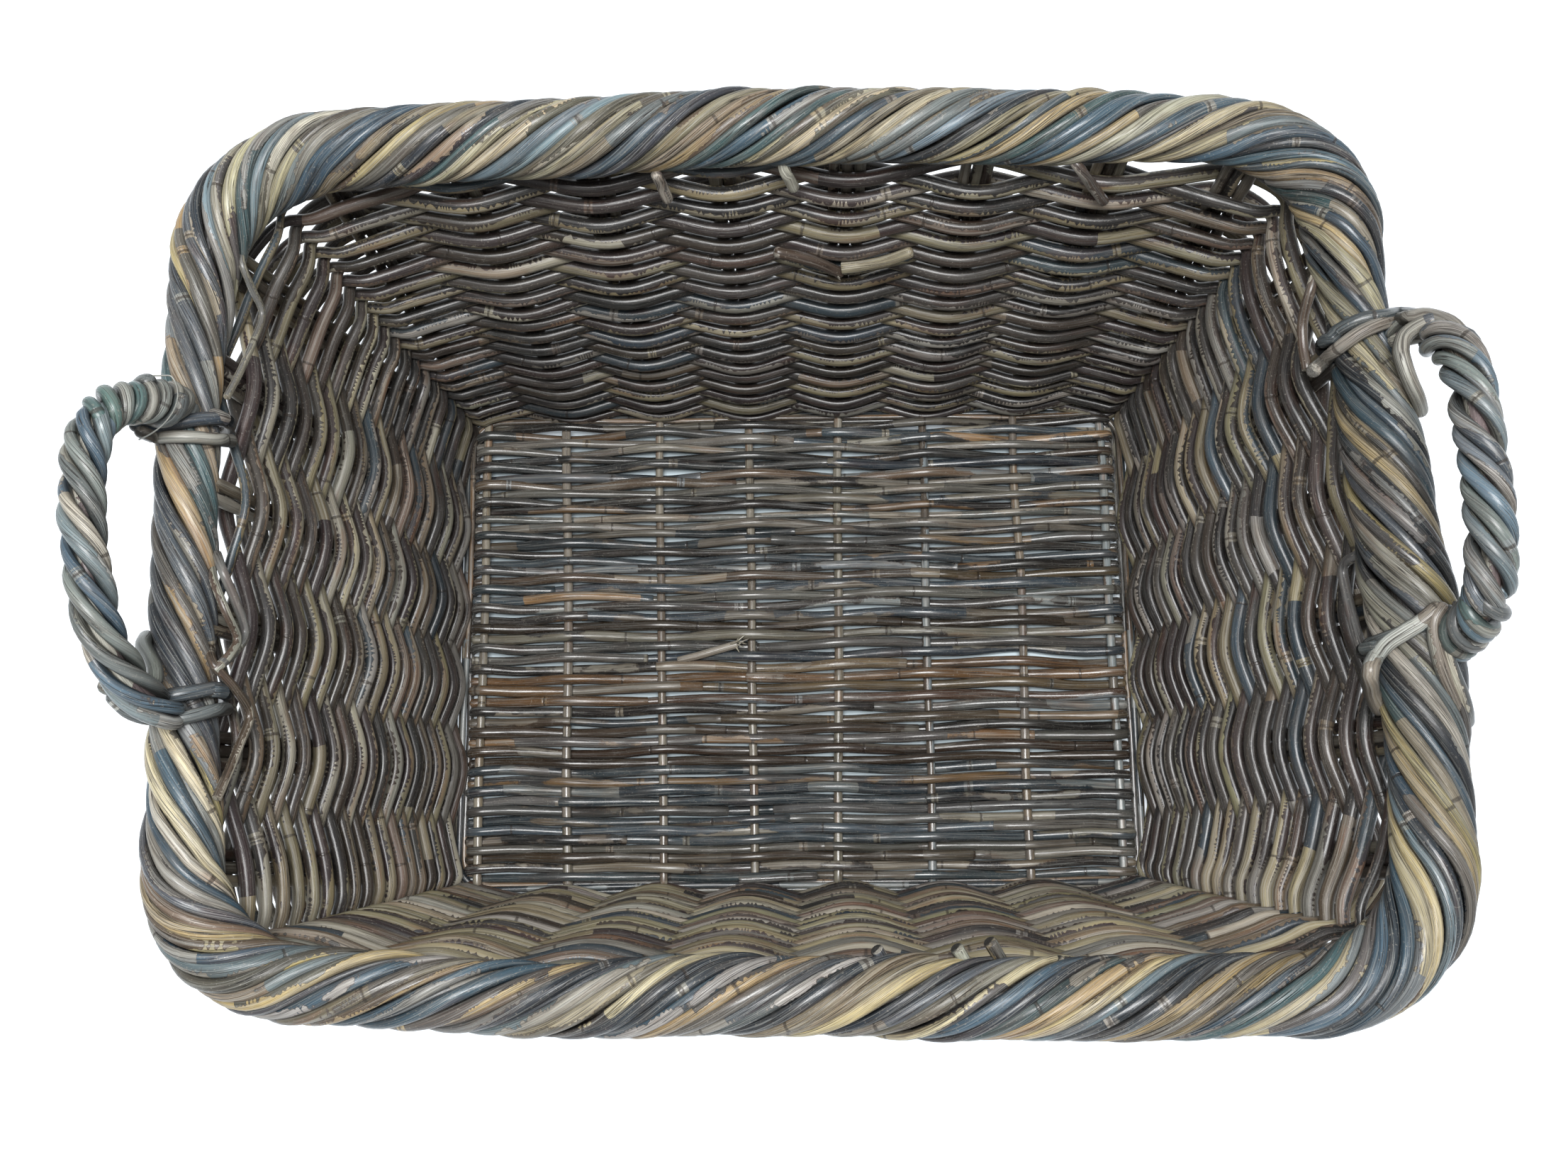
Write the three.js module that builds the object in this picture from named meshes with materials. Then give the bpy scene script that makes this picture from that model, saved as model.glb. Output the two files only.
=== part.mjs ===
// Rectangular rattan log basket: woven base, 28 pairs of stakes, wall weave, rope-twisted rim and two rope-twisted ear handles.
// Millimetres, +Z up, +X along the long side, +Y towards the back. The origin is on the floor under the middle.
import * as THREE from "three";

// ---- driving dimensions -------------------------------------------------
const RIM_Z = 328; // height of the centre of the rope border
const ROPE_R = 21.2; // greatest radius of the rope border
const RIM_A = 296.4, // half length, half width and corner radius of the border's centre line
  RIM_B = 215.4,
  RIM_C = 61.4;
// Hand-made deviation of the border, 16 equal steps round it, outwards positive, from the middle of the right end.
const RIM_OFF = [3.2, -11.2, -3.6, 3.1, 6.0, 3.2, -2.4, 0.9, -5.5, -9.1, -9.6, -1.7, -1.0, 1.4, 0.6, 3.0];
const RIM_SHIFT = [-2.1, -2.25];
// The rope is thinner along the left end, at the back of the right end and along the front: 36 equal steps round it,
// its radius, and how far its centre stands outwards of the border's centre line. Its underside stays level.
const ROPE_RADIUS = [
  20.2, 19.5, 15.4, 19.7, 19.2, 17.0, 18.9, 19.2, 19.4, 19.9, 19.7, 20.5, 20.4, 20.9, 20.2, 18.7, 15.2, 15.2,
  15.4, 15.4, 16.9, 19.5, 19.5, 17.9, 17.4, 17.4, 18.9, 18.2, 19.0, 19.2, 19.4, 19.0, 20.4, 20.0, 18.7, 21.4,
];
const ROPE_OUT = [
  -0.6, 2.4, 6.7, 0.9, 1.8, 7.1, 4.3, 3.1, 3.2, 2.4, 2.6, 0.7, 1.9, 1.5, 1.5, 3.6, 7.6, 10.6,
  11.3, 10.0, 6.9, 3.0, 2.2, 3.5, 4.0, 4.0, 2.4, 3.2, 2.6, 2.8, 2.9, 2.3, 2.8, 3.0, 4.6, 2.5,
];
const STRANDS = 3,
  STRAND_R = 8.7, // one strand stands for five rods
  STRAND_OFF = 12.5,
  TURNS = 12; // turns of the rope round the rim

const WALL_A0 = 242, // wall's middle surface at the floor: half length, half width, corner radius
  WALL_B0 = 174.5,
  WALL_C0 = 25;
const WALL_C1 = 76; // corner radius at rim height
const WALL_TOP = 292;
const COURSES = 8, // each course stands for four or five rods
  COURSE_GAP = 0.4,
  ROD = 7.5, // thickness of a wall rod
  WAVE = 7.65; // how far a rod stands off the middle surface at a stake

const STAKE_W = 15, // a pair of stakes side by side
  STAKE_T = 7,
  STAKE_Z0 = 2.5,
  STAKE_Z1 = 305.6;

const STICK_R = 3.3, // base sticks, front to back
  STICK_Z = 8.65,
  STICK_END = 160,
  WEAVER = 5, // thickness of a base weaver
  BASE_WAVE = 6.15,
  BASE_X = 227.4,
  BASE_Y = 159,
  BANDS = 4; // each band stands for about twelve weavers
const STICKS_BACK = [-223.9, -166, -98.5, -33.5, 31.5, 94, 159.5, 221.5]; // x at y = +160
const STICKS_FRONT = [-222, -159.5, -93.5, -31.5, 26, 90, 157.5, 221.5]; // x at y = -160

const CORE_R = 4.1, // handle core
  WRAP_R = 3.2, // handle wrapping rod
  WRAP_OFF = 7.6, // wrap's distance from the core's centre line
  LASH_R = 4,
  LASH_OFF = 4.7; // a lashing's centre line above the rope's surface
const HANDLE_LEFT = [
  [-306.9, 68.6, 339.2], [-306.6, 67.6, 349.6], [-312.5, 60.6, 368], [-317, 54.1, 382], [-320.9, 42.8, 390], [-323.4, 27.9, 392], [-322.2, 7.5, 393],
  [-319.1, -15.8, 393], [-316.2, -35, 391], [-312.7, -53.5, 385], [-308.6, -68, 374], [-304.1, -78, 363], [-299.1, -85.2, 349.8],
  [-298.8, -87.2, 341.2],
];
const HANDLE_RIGHT = [
  [303.6, 93.6, 338.4], [308.9, 92, 348], [310.6, 84.3, 365.5], [312.2, 71.9, 379], [312.3, 58.5, 386], [312, 41.7, 390], [312, 20.9, 392],
  [311.9, -2.6, 393], [311.4, -25.1, 392], [311.5, -40.3, 387.5], [311.6, -51.1, 377], [310.8, -56.4, 363], [311.2, -59.4, 349.2],
];

// ---- colours --------------------------------------------------------------
const paint = (color, roughness = 0.55) => new THREE.MeshStandardMaterial({ color, roughness, metalness: 0 });
const STAKE_COL = 0x5b4d40, WEAVE_COL = 0x57493c, BASE_COL = 0x5d5348, TAN = 0x9c8458, BLUE = 0x5c6b74, CREAM = 0xa59a86, GREY = 0x77766f;

// ---- the basket's outline -------------------------------------------------
// Periodic cubic through even values, by Catmull-Rom on a closed run.
function periodic(values, u) {
  const n = values.length, s = (((u % 1) + 1) % 1) * n, i = Math.floor(s), t = s - i;
  const [a, b, c, d] = [-1, 0, 1, 2].map((k) => values[(i + k + n) % n]);
  return b + 0.5 * t * (c - a + t * (2 * a - 5 * b + 4 * c - d + t * (3 * (b - c) + d - a)));
}
const rimDeviation = (u) => periodic(RIM_OFF, u);
const ropeRadius = (u) => periodic(ROPE_RADIUS, u);
// Point and outward normal of a rounded rectangle at share u of its length, from the middle of the right end, anticlockwise.
function roundedRect(a, b, r, u) {
  const sx = a - r, sy = b - r, arc = (Math.PI / 2) * r, len = 4 * sx + 4 * sy + 4 * arc;
  let s = (((u % 1) + 1) % 1) * len;
  const legs = [
    [sy, (t) => [a, t, 1, 0]],
    [arc, (t) => [sx + r * Math.cos(t / r), sy + r * Math.sin(t / r), Math.cos(t / r), Math.sin(t / r)]],
    [2 * sx, (t) => [sx - t, b, 0, 1]],
    [arc, (t) => [-sx - r * Math.sin(t / r), sy + r * Math.cos(t / r), -Math.sin(t / r), Math.cos(t / r)]],
    [2 * sy, (t) => [-a, sy - t, -1, 0]],
    [arc, (t) => [-sx - r * Math.cos(t / r), -sy - r * Math.sin(t / r), -Math.cos(t / r), -Math.sin(t / r)]],
    [2 * sx, (t) => [-sx + t, -b, 0, -1]],
    [arc, (t) => [sx + r * Math.sin(t / r), -sy - r * Math.cos(t / r), Math.sin(t / r), -Math.cos(t / r)]],
    [sy, (t) => [a, -sy + t, 1, 0]],
  ];
  for (const [l, f] of legs) {
    if (s <= l) return f(s);
    s -= l;
  }
  return legs[8][1](sy);
}
function rimPoint(u) {
  const [x, y, nx, ny] = roundedRect(RIM_A, RIM_B, RIM_C, u), o = rimDeviation(u);
  return new THREE.Vector3(x + nx * o + RIM_SHIFT[0], y + ny * o + RIM_SHIFT[1], RIM_Z);
}
function ropePoint(u) {
  const [, , nx, ny] = roundedRect(RIM_A, RIM_B, RIM_C, u), o = periodic(ROPE_OUT, u), p = rimPoint(u);
  return new THREE.Vector3(p.x + nx * o, p.y + ny * o, RIM_Z - (ROPE_R - ropeRadius(u)));
}
// Share of the rim's length nearest to a direction from the centre.
function rimShare(x, y) {
  let best = [Infinity, 0];
  for (let i = 0; i < 720; i++) {
    const p = rimPoint(i / 720), d = Math.hypot(p.x - x, p.y - y);
    if (d < best[0]) best = [d, i / 720];
  }
  return best[1];
}

// ---- stakes: their middle line at height z, with the wall's normal ---------
const mix = (a, b, t) => a + (b - a) * t;
const wall = (z) => ({
  a: mix(WALL_A0, RIM_A, z / RIM_Z),
  b: mix(WALL_B0, RIM_B, z / RIM_Z),
  c: mix(WALL_C0, WALL_C1, z / RIM_Z),
});
const DEG = Math.PI / 180;
const END_SHORT = 14 * DEG, END_LONG = 70 * DEG; // where the last stakes of each side stand on the corner arcs
const SHORT_AT = [[28, 33], [84, 99]]; // y at the floor and at the rim
const LONG_AT = [[32, 34.5], [96, 106], [160, 177]]; // x at the floor and at the rim
const stakes = [];
function addStake(name, place) {
  const top = place(RIM_Z), o = rimDeviation(rimShare(top.x, top.y));
  stakes.push({
    name,
    at: (z) => {
      const p = place(z), k = (z / RIM_Z);
      return { x: p.x + (p.nx * o + RIM_SHIFT[0]) * k, y: p.y + (p.ny * o + RIM_SHIFT[1]) * k, nx: p.nx, ny: p.ny };
    },
  });
}
const onArc = (sx, sy, ang) => (z) => {
  const w = wall(z);
  return {
    x: sx * (w.a - w.c + w.c * Math.cos(ang)), y: sy * (w.b - w.c + w.c * Math.sin(ang)),
    nx: sx * Math.cos(ang), ny: sy * Math.sin(ang),
  };
};
const onSide = (sx, [y0, y1]) => (z) => ({ x: sx * wall(z).a, y: mix(y0, y1, z / RIM_Z), nx: sx, ny: 0 });
const onLong = (sy, [x0, x1]) => (z) => ({ x: mix(x0, x1, z / RIM_Z), y: sy * wall(z).b, nx: 0, ny: sy });
const neg = ([p, q]) => [-p, -q];
addStake("stake_right_1", onArc(1, -1, END_SHORT));
addStake("stake_right_2", onSide(1, neg(SHORT_AT[1])));
addStake("stake_right_3", onSide(1, neg(SHORT_AT[0])));
addStake("stake_right_4", onSide(1, SHORT_AT[0]));
addStake("stake_right_5", onSide(1, SHORT_AT[1]));
addStake("stake_right_6", onArc(1, 1, END_SHORT));
addStake("stake_back_1", onArc(1, 1, END_LONG));
addStake("stake_back_2", onLong(1, LONG_AT[2]));
addStake("stake_back_3", onLong(1, LONG_AT[1]));
addStake("stake_back_4", onLong(1, LONG_AT[0]));
addStake("stake_back_5", onLong(1, neg(LONG_AT[0])));
addStake("stake_back_6", onLong(1, neg(LONG_AT[1])));
addStake("stake_back_7", onLong(1, neg(LONG_AT[2])));
addStake("stake_back_8", onArc(-1, 1, END_LONG));
addStake("stake_left_1", onArc(-1, 1, END_SHORT));
addStake("stake_left_2", onSide(-1, SHORT_AT[1]));
addStake("stake_left_3", onSide(-1, SHORT_AT[0]));
addStake("stake_left_4", onSide(-1, neg(SHORT_AT[0])));
addStake("stake_left_5", onSide(-1, neg(SHORT_AT[1])));
addStake("stake_left_6", onArc(-1, -1, END_SHORT));
addStake("stake_front_1", onArc(-1, -1, END_LONG));
addStake("stake_front_2", onLong(-1, neg(LONG_AT[2])));
addStake("stake_front_3", onLong(-1, neg(LONG_AT[1])));
addStake("stake_front_4", onLong(-1, neg(LONG_AT[0])));
addStake("stake_front_5", onLong(-1, LONG_AT[0]));
addStake("stake_front_6", onLong(-1, LONG_AT[1]));
addStake("stake_front_7", onLong(-1, LONG_AT[2]));
addStake("stake_front_8", onArc(1, -1, END_LONG));
const CORNERS = new Map([[5, [1, 1]], [13, [-1, 1]], [19, [-1, -1]], [27, [1, -1]]]); // the crossing after these stakes lies on a corner

// ---- mesh helpers -----------------------------------------------------------
// Joins sections (arrays of [x, y, z] of equal length) into one closed surface: a ring of sections, or a bar with two flat ends.
function loft(sections, ring) {
  const n = sections.length, k = sections[0].length, pos = sections.flat(2), idx = [];
  for (let i = 0; i < (ring ? n : n - 1); i++)
    for (let j = 0; j < k; j++) {
      const a = i * k + j, b = i * k + ((j + 1) % k), c = ((i + 1) % n) * k + j, d = ((i + 1) % n) * k + ((j + 1) % k);
      idx.push(a, c, b, b, c, d);
    }
  if (!ring)
    for (let j = 1; j < k - 1; j++) {
      idx.push(0, j, j + 1);
      const e = (n - 1) * k;
      idx.push(e, e + j + 1, e + j);
    }
  let volume = 0;
  const v = (i) => new THREE.Vector3(pos[3 * i], pos[3 * i + 1], pos[3 * i + 2]);
  for (let i = 0; i < idx.length; i += 3) volume += v(idx[i]).dot(v(idx[i + 1]).cross(v(idx[i + 2])));
  if (volume < 0) for (let i = 0; i < idx.length; i += 3) [idx[i + 1], idx[i + 2]] = [idx[i + 2], idx[i + 1]];
  const g = new THREE.BufferGeometry();
  g.setAttribute("position", new THREE.Float32BufferAttribute(pos, 3));
  g.setIndex(idx);
  g.computeVertexNormals();
  return g;
}
// A round bar with flat ends along a run of points.
function rodAlong(points, radius, sides, steps) {
  const shape = new THREE.Shape();
  for (let i = 0; i < sides; i++) {
    const a = (2 * Math.PI * i) / sides, x = radius * Math.cos(a), y = radius * Math.sin(a);
    if (i) shape.lineTo(x, y);
    else shape.moveTo(x, y);
  }
  shape.closePath();
  return new THREE.ExtrudeGeometry(shape, { steps, bevelEnabled: false, extrudePath: new THREE.CatmullRomCurve3(points, false, "centripetal") });
}
const basket = new THREE.Group();
function add(name, geometry, material) {
  const m = new THREE.Mesh(geometry, material);
  m.name = name;
  basket.add(m);
}

// ---- base: eight sticks, woven over and under by four bands of thin weavers ----
STICKS_BACK.forEach((xb, i) => {
  const from = new THREE.Vector3(STICKS_FRONT[i], -STICK_END, STICK_Z), to = new THREE.Vector3(xb, STICK_END, STICK_Z);
  add("base_stick_" + (i + 1), rodAlong([from, to], STICK_R, 8, 1), paint(BASE_COL));
});
const BAND_NAMES = ["base_weave_front", "base_weave_mid_front", "base_weave_mid_back", "base_weave_back"];
for (let b = 0; b < BANDS; b++) {
  const y0 = mix(-BASE_Y, BASE_Y, b / BANDS) + (b ? 0.2 : 0), y1 = mix(-BASE_Y, BASE_Y, (b + 1) / BANDS) - (b < BANDS - 1 ? 0.2 : 0);
  const line = (y) => {
    const p = [];
    STICKS_BACK.forEach((xb, i) => {
      const x = mix(STICKS_FRONT[i], xb, (y + STICK_END) / (2 * STICK_END)), s = (i + b) % 2 ? 1 : -1;
      p.push([Math.max(x - 5, -BASE_X), s * BASE_WAVE], [Math.min(x + 5, BASE_X), s * BASE_WAVE]);
    });
    p[0][0] = -BASE_X;
    p[p.length - 1][0] = BASE_X;
    return p;
  };
  const l0 = line(y0), l1 = line(y1), h = WEAVER / 2;
  const mitre = (l, i) => {
    const edge = (a, c) => {
      const d = Math.hypot(l[c][0] - l[a][0], l[c][1] - l[a][1]);
      return [-(l[c][1] - l[a][1]) / d, (l[c][0] - l[a][0]) / d];
    };
    const e0 = edge(Math.max(i - 1, 0), Math.max(i, 1)), e1 = edge(Math.min(i, l.length - 2), Math.min(i + 1, l.length - 1));
    const k = 1 + e0[0] * e1[0] + e0[1] * e1[1];
    return [((e0[0] + e1[0]) / k) * h, ((e0[1] + e1[1]) / k) * h];
  };
  const sections = l0.map((_, i) => {
    const [m0, m1] = [mitre(l0, i), mitre(l1, i)];
    return [
      [l0[i][0] - m0[0], y0, STICK_Z + l0[i][1] - m0[1]], [l1[i][0] - m1[0], y1, STICK_Z + l1[i][1] - m1[1]],
      [l1[i][0] + m1[0], y1, STICK_Z + l1[i][1] + m1[1]], [l0[i][0] + m0[0], y0, STICK_Z + l0[i][1] + m0[1]],
    ];
  });
  add(BAND_NAMES[b], loft(sections, false), paint(BASE_COL));
}

// ---- stakes: each a pair of rods side by side, leaning out with the wall -----
for (const s of stakes) {
  const sections = [STAKE_Z0, STAKE_Z1].map((z) => {
    const { x, y, nx, ny } = s.at(z), ring = [];
    for (let i = 0; i < 8; i++) {
      const a = (2 * Math.PI * (i + 0.5)) / 8, t = (STAKE_W / 2) * Math.cos(a) * 1.08, n = (STAKE_T / 2) * Math.sin(a) * 1.08;
      const [tt, nn] = [Math.max(-STAKE_W / 2, Math.min(STAKE_W / 2, t)), Math.max(-STAKE_T / 2, Math.min(STAKE_T / 2, n))];
      ring.push([x - ny * tt + nx * nn, y + nx * tt + ny * nn, z]);
    }
    return ring;
  });
  add(s.name, loft(sections, false), paint(STAKE_COL));
}

// ---- wall weave: courses that pass in front of and behind the stakes in turn ----
const FLAT = 9; // half length of the straight stretch beside a stake
function courseLine(z, phase) {
  const p = [];
  stakes.forEach((s, k) => {
    const { x, y, nx, ny } = s.at(z), w = (k + phase) % 2 ? WAVE : -WAVE;
    p.push([x + ny * FLAT + nx * w, y - nx * FLAT + ny * w], [x - ny * FLAT + nx * w, y + nx * FLAT + ny * w]);
    if (CORNERS.has(k)) {
      const [sx, sy] = CORNERS.get(k), q = wall(z), t = z / RIM_Z;
      const e = (q.c + 3) * Math.SQRT1_2;
      p.push([sx * (q.a - q.c + e) + RIM_SHIFT[0] * t, sy * (q.b - q.c + e) + RIM_SHIFT[1] * t]);
    }
  });
  return p;
}
function offsetLoop(p, h) {
  const n = p.length;
  return p.map((_, i) => {
    const edge = (a, b) => {
      const dx = p[b][0] - p[a][0], dy = p[b][1] - p[a][1], d = Math.hypot(dx, dy);
      return [dy / d, -dx / d];
    };
    const e0 = edge((i + n - 1) % n, i), e1 = edge(i, (i + 1) % n), k = 1 + e0[0] * e1[0] + e0[1] * e1[1];
    return [p[i][0] + ((e0[0] + e1[0]) / k) * h, p[i][1] + ((e0[1] + e1[1]) / k) * h];
  });
}
for (let c = 0; c < COURSES; c++) {
  const z0 = (WALL_TOP * c) / COURSES, z1 = (WALL_TOP * (c + 1)) / COURSES - COURSE_GAP;
  const [lo, hi] = [courseLine(z0, c), courseLine(z1, c)];
  const [loOut, loIn, hiOut, hiIn] = [offsetLoop(lo, ROD / 2), offsetLoop(lo, -ROD / 2), offsetLoop(hi, ROD / 2), offsetLoop(hi, -ROD / 2)];
  const sections = lo.map((_, i) => [[...loIn[i], z0], [...loOut[i], z0], [...hiOut[i], z1], [...hiIn[i], z1]]);
  add("wall_course_" + (c + 1), loft(sections, true), paint(WEAVE_COL));
}

// ---- rope border: three strands laid round each other ------------------------
class ClosedStrand extends THREE.Curve {
  constructor(phase) {
    super();
    this.phase = phase;
  }
  getPoint(u) {
    const p = ropePoint(u), q = ropePoint(u + 1e-4), o = ropePoint(u - 1e-4), t = q.sub(o).normalize();
    const a = 2 * Math.PI * (TURNS * u + this.phase), off = (STRAND_OFF * ropeRadius(u)) / ROPE_R;
    return new THREE.Vector3(p.x + t.y * off * Math.cos(a), p.y - t.x * off * Math.cos(a), p.z + off * Math.sin(a));
  }
}
const STRAND_NAMES = ["rim_strand_tan", "rim_strand_blue", "rim_strand_cream"];
for (let s = 0; s < STRANDS; s++) {
  const curve = new ClosedStrand(s / STRANDS);
  const n = TURNS * 9, sections = [];
  for (let i = 0; i < n; i++) {
    // a section square to the strand, turned so that it never twists past a lap
    const u = i / n, p = curve.getPoint(u), t = curve.getPoint(u + 1e-4).sub(curve.getPoint(u - 1e-4)).normalize();
    const c = ropePoint(u), r = (STRAND_R * ropeRadius(u)) / ROPE_R, out = p.clone().sub(c).normalize(), side = t.clone().cross(out).normalize(), up = side.clone().cross(t).normalize();
    const ring = [];
    for (let j = 0; j < 6; j++) {
      const a = (2 * Math.PI * (j + 0.5)) / 6;
      const v = p.clone().addScaledVector(up, r * Math.cos(a)).addScaledVector(side, r * Math.sin(a));
      ring.push([v.x, v.y, v.z]);
    }
    sections.push(ring);
  }
  add(STRAND_NAMES[s], loft(sections, true), paint([TAN, BLUE, CREAM][s]));
}

// ---- handles: a core bow, a rod wound round it, and a lashing at each foot ----
function wound(points, offset, turns, steps) {
  const path = new THREE.CatmullRomCurve3(points.map((p) => new THREE.Vector3(...p)), false, "centripetal");
  const f = path.computeFrenetFrames(steps, false), out = [];
  const from = Math.ceil(steps * 0.035), to = Math.floor(steps * 0.955); // the winding stops short of the rim
  for (let i = from; i <= to; i++) {
    const p = path.getPointAt(i / steps), a = (2 * Math.PI * turns * i) / steps;
    out.push(p.addScaledVector(f.normals[i], offset * Math.cos(a)).addScaledVector(f.binormals[i], offset * Math.sin(a)));
  }
  return out;
}
function lashing(y, side, name) {
  // an open loop of rod round the rope border: from the inside over the top, down the outside and back underneath
  const u = rimShare(side * 300, y), c = ropePoint(u), off = ropeRadius(u) + LASH_OFF, pts = [];
  for (let i = 0; i <= 12; i++) {
    const a = (168 - (312 * i) / 12) * DEG;
    pts.push(new THREE.Vector3(c.x + side * off * Math.cos(a), y, c.z + off * Math.sin(a)));
  }
  add(name, rodAlong(pts, LASH_R, 6, 16), paint(GREY));
}
for (const [side, run, sense, lashes] of [["left", HANDLE_LEFT, 1, [51.5, -68]], ["right", HANDLE_RIGHT, -1, [74.5, -75.5]]]) {
  const core = run.map((p) => new THREE.Vector3(...p));
  add("handle_" + side + "_core", rodAlong(core, CORE_R, 8, 28), paint(TAN));
  add("handle_" + side + "_wrap", rodAlong(wound(run, WRAP_OFF, sense * 7, 84), WRAP_R, 6, 76), paint(BLUE));
  lashing(lashes[0], side === "left" ? -1 : 1, "handle_" + side + "_lashing_back");
  lashing(lashes[1], side === "left" ? -1 : 1, "handle_" + side + "_lashing_front");
}

export default basket;
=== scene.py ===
import math

import bpy
import numpy as np
from mathutils import Matrix


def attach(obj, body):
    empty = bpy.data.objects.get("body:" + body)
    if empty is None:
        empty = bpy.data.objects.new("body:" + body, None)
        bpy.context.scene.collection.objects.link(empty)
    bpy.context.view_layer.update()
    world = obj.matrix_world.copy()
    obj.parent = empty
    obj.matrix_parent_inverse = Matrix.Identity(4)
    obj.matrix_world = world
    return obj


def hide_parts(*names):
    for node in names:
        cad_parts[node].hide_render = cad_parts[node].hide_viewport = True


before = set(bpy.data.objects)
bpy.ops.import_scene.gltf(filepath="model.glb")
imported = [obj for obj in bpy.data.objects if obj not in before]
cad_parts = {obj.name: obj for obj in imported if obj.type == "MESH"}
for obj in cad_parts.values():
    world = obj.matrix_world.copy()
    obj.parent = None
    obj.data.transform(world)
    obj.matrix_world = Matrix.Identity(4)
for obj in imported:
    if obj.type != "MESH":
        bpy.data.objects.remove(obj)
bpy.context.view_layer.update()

# Rattan log basket. Lengths below are millimetres, turned into metres when a mesh is made.
# +X is along the long side, +Y towards the back, +Z up.
MM = 0.001
SEED = 54


def rs(*key):
    return np.random.default_rng([SEED, *key])


# ---- camera -------------------------------------------------------------------
PX_F, PX_W, PX_H = 2059.79, 2212.0, 1659.0
CAM = np.array([5.55, -173.14, 1029.06])


def rotation(pitch, yaw, roll):
    c, s = math.cos(pitch), math.sin(pitch)
    rx = np.array([[1, 0, 0], [0, c, -s], [0, s, c]])
    c, s = math.cos(roll), math.sin(roll)
    ry = np.array([[c, 0, s], [0, 1, 0], [-s, 0, c]])
    c, s = math.cos(yaw), math.sin(yaw)
    rz = np.array([[c, -s, 0], [s, c, 0], [0, 0, 1]])
    return rz @ ry @ rx


CAM_R = rotation(math.radians(11.82), math.radians(-0.64), math.radians(0.95))


def ray(u, v):
    return CAM_R @ np.array([(u - PX_W / 2) / PX_F, -(v - PX_H / 2) / PX_F, -1.0])


def at_z(u, v, z):
    """Where the line of sight through a pixel of the frame meets height z."""
    d = ray(u, v)
    return CAM + d * ((z - CAM[2]) / d[2])


cam_data = bpy.data.cameras.new("camera")
cam_data.sensor_fit = "HORIZONTAL"
cam_data.sensor_width = 36.0
cam_data.lens = 36.0 * PX_F / PX_W
cam_data.clip_start = 0.02
cam_data.clip_end = 50.0
camera = bpy.data.objects.new("camera", cam_data)
bpy.context.scene.collection.objects.link(camera)
m = Matrix.Identity(4)
for i in range(3):
    for j in range(3):
        m[i][j] = CAM_R[i, j]
    m[i][3] = CAM[i] * MM
camera.matrix_world = m
bpy.context.scene.camera = camera

# ---- the basket's outline --------------------------------------------------------
RIM_Z, ROPE_R = 328.0, 21.2
# the rope border's thickness changes along the rim, and with it how far out it lies: even steps anticlockwise from the middle of the right end
ROPE_RADIUS = np.array([
    20.2, 19.5, 15.4, 19.7, 19.2, 17.0, 18.9, 19.2, 19.4, 19.9, 19.7, 20.5, 20.4, 20.9, 20.2, 18.7, 15.2, 15.2,
    15.4, 15.4, 16.9, 19.5, 19.5, 17.9, 17.4, 17.4, 18.9, 18.2, 19.0, 19.2, 19.4, 19.0, 20.4, 20.0, 18.7, 21.4,
])
ROPE_OUT = np.array([
    -0.6, 2.4, 6.7, 0.9, 1.8, 7.1, 4.3, 3.1, 3.2, 2.4, 2.6, 0.7, 1.9, 1.5, 1.5, 3.6, 7.6, 10.6,
    11.3, 10.0, 6.9, 3.0, 2.2, 3.5, 4.0, 4.0, 2.4, 3.2, 2.6, 2.8, 2.9, 2.3, 2.8, 3.0, 4.6, 2.5,
])
RIM_A, RIM_B, RIM_C = 296.4, 215.4, 61.4
RIM_OFF = np.array([3.2, -11.2, -3.6, 3.1, 6.0, 3.2, -2.4, 0.9, -5.5, -9.1, -9.6, -1.7, -1.0, 1.4, 0.6, 3.0])
RIM_SHIFT = np.array([-2.1, -2.25])
STICK_Z = 9.2
STICKS_BACK = [-223.9, -166, -98.5, -33.5, 31.5, 94, 159.5, 221.5]  # x at y = +160
STICKS_FRONT = [-222, -159.5, -93.5, -31.5, 26, 90, 157.5, 221.5]  # x at y = -160


def mix(a, b, t):
    return a + (b - a) * t


def periodic(values, u):
    """A closed smooth run through even values."""
    n = len(values)
    s = np.mod(np.atleast_1d(np.asarray(u, float)), 1.0) * n
    i = np.floor(s).astype(int)
    t = s - i
    a, b, c, d = (values[(i + k) % n] for k in (-1, 0, 1, 2))
    return b + 0.5 * t * (c - a + t * (2 * a - 5 * b + 4 * c - d + t * (3 * (b - c) + d - a)))


def rim_deviation(u):
    return periodic(RIM_OFF, u)


def rope_radius(u):
    return periodic(ROPE_RADIUS, u)


def rounded_rect(a, b, r, u):
    """Points and outward normals of a rounded rectangle at shares u of its length, anticlockwise from the middle of the right end."""
    sx, sy, arc = a - r, b - r, math.pi / 2 * r
    legs = np.array([sy, arc, 2 * sx, arc, 2 * sy, arc, 2 * sx, arc, sy])
    edges = np.concatenate([[0], np.cumsum(legs)])
    s = np.mod(np.atleast_1d(np.asarray(u, float)), 1.0) * edges[-1]
    i = np.clip(np.searchsorted(edges, s, side="right") - 1, 0, 8)
    t = s - edges[i]
    x, y, ang = np.zeros_like(s), np.zeros_like(s), np.zeros_like(s)
    for leg, cx, cy, start in ((1, sx, sy, 0), (3, -sx, sy, 90), (5, -sx, -sy, 180), (7, sx, -sy, 270)):
        k = i == leg
        ang[k] = math.radians(start) + t[k] / r
        x[k], y[k] = cx + r * np.cos(ang[k]), cy + r * np.sin(ang[k])
    for leg, px, py, dx, dy, a0 in ((0, a, 0, 0, 1, 0), (2, sx, b, -1, 0, 90), (4, -a, sy, 0, -1, 180), (6, -sx, -b, 1, 0, 270), (8, a, -sy, 0, 1, 0)):
        k = i == leg
        x[k], y[k], ang[k] = px + dx * t[k], py + dy * t[k], math.radians(a0)
    return x, y, np.cos(ang), np.sin(ang)


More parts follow.
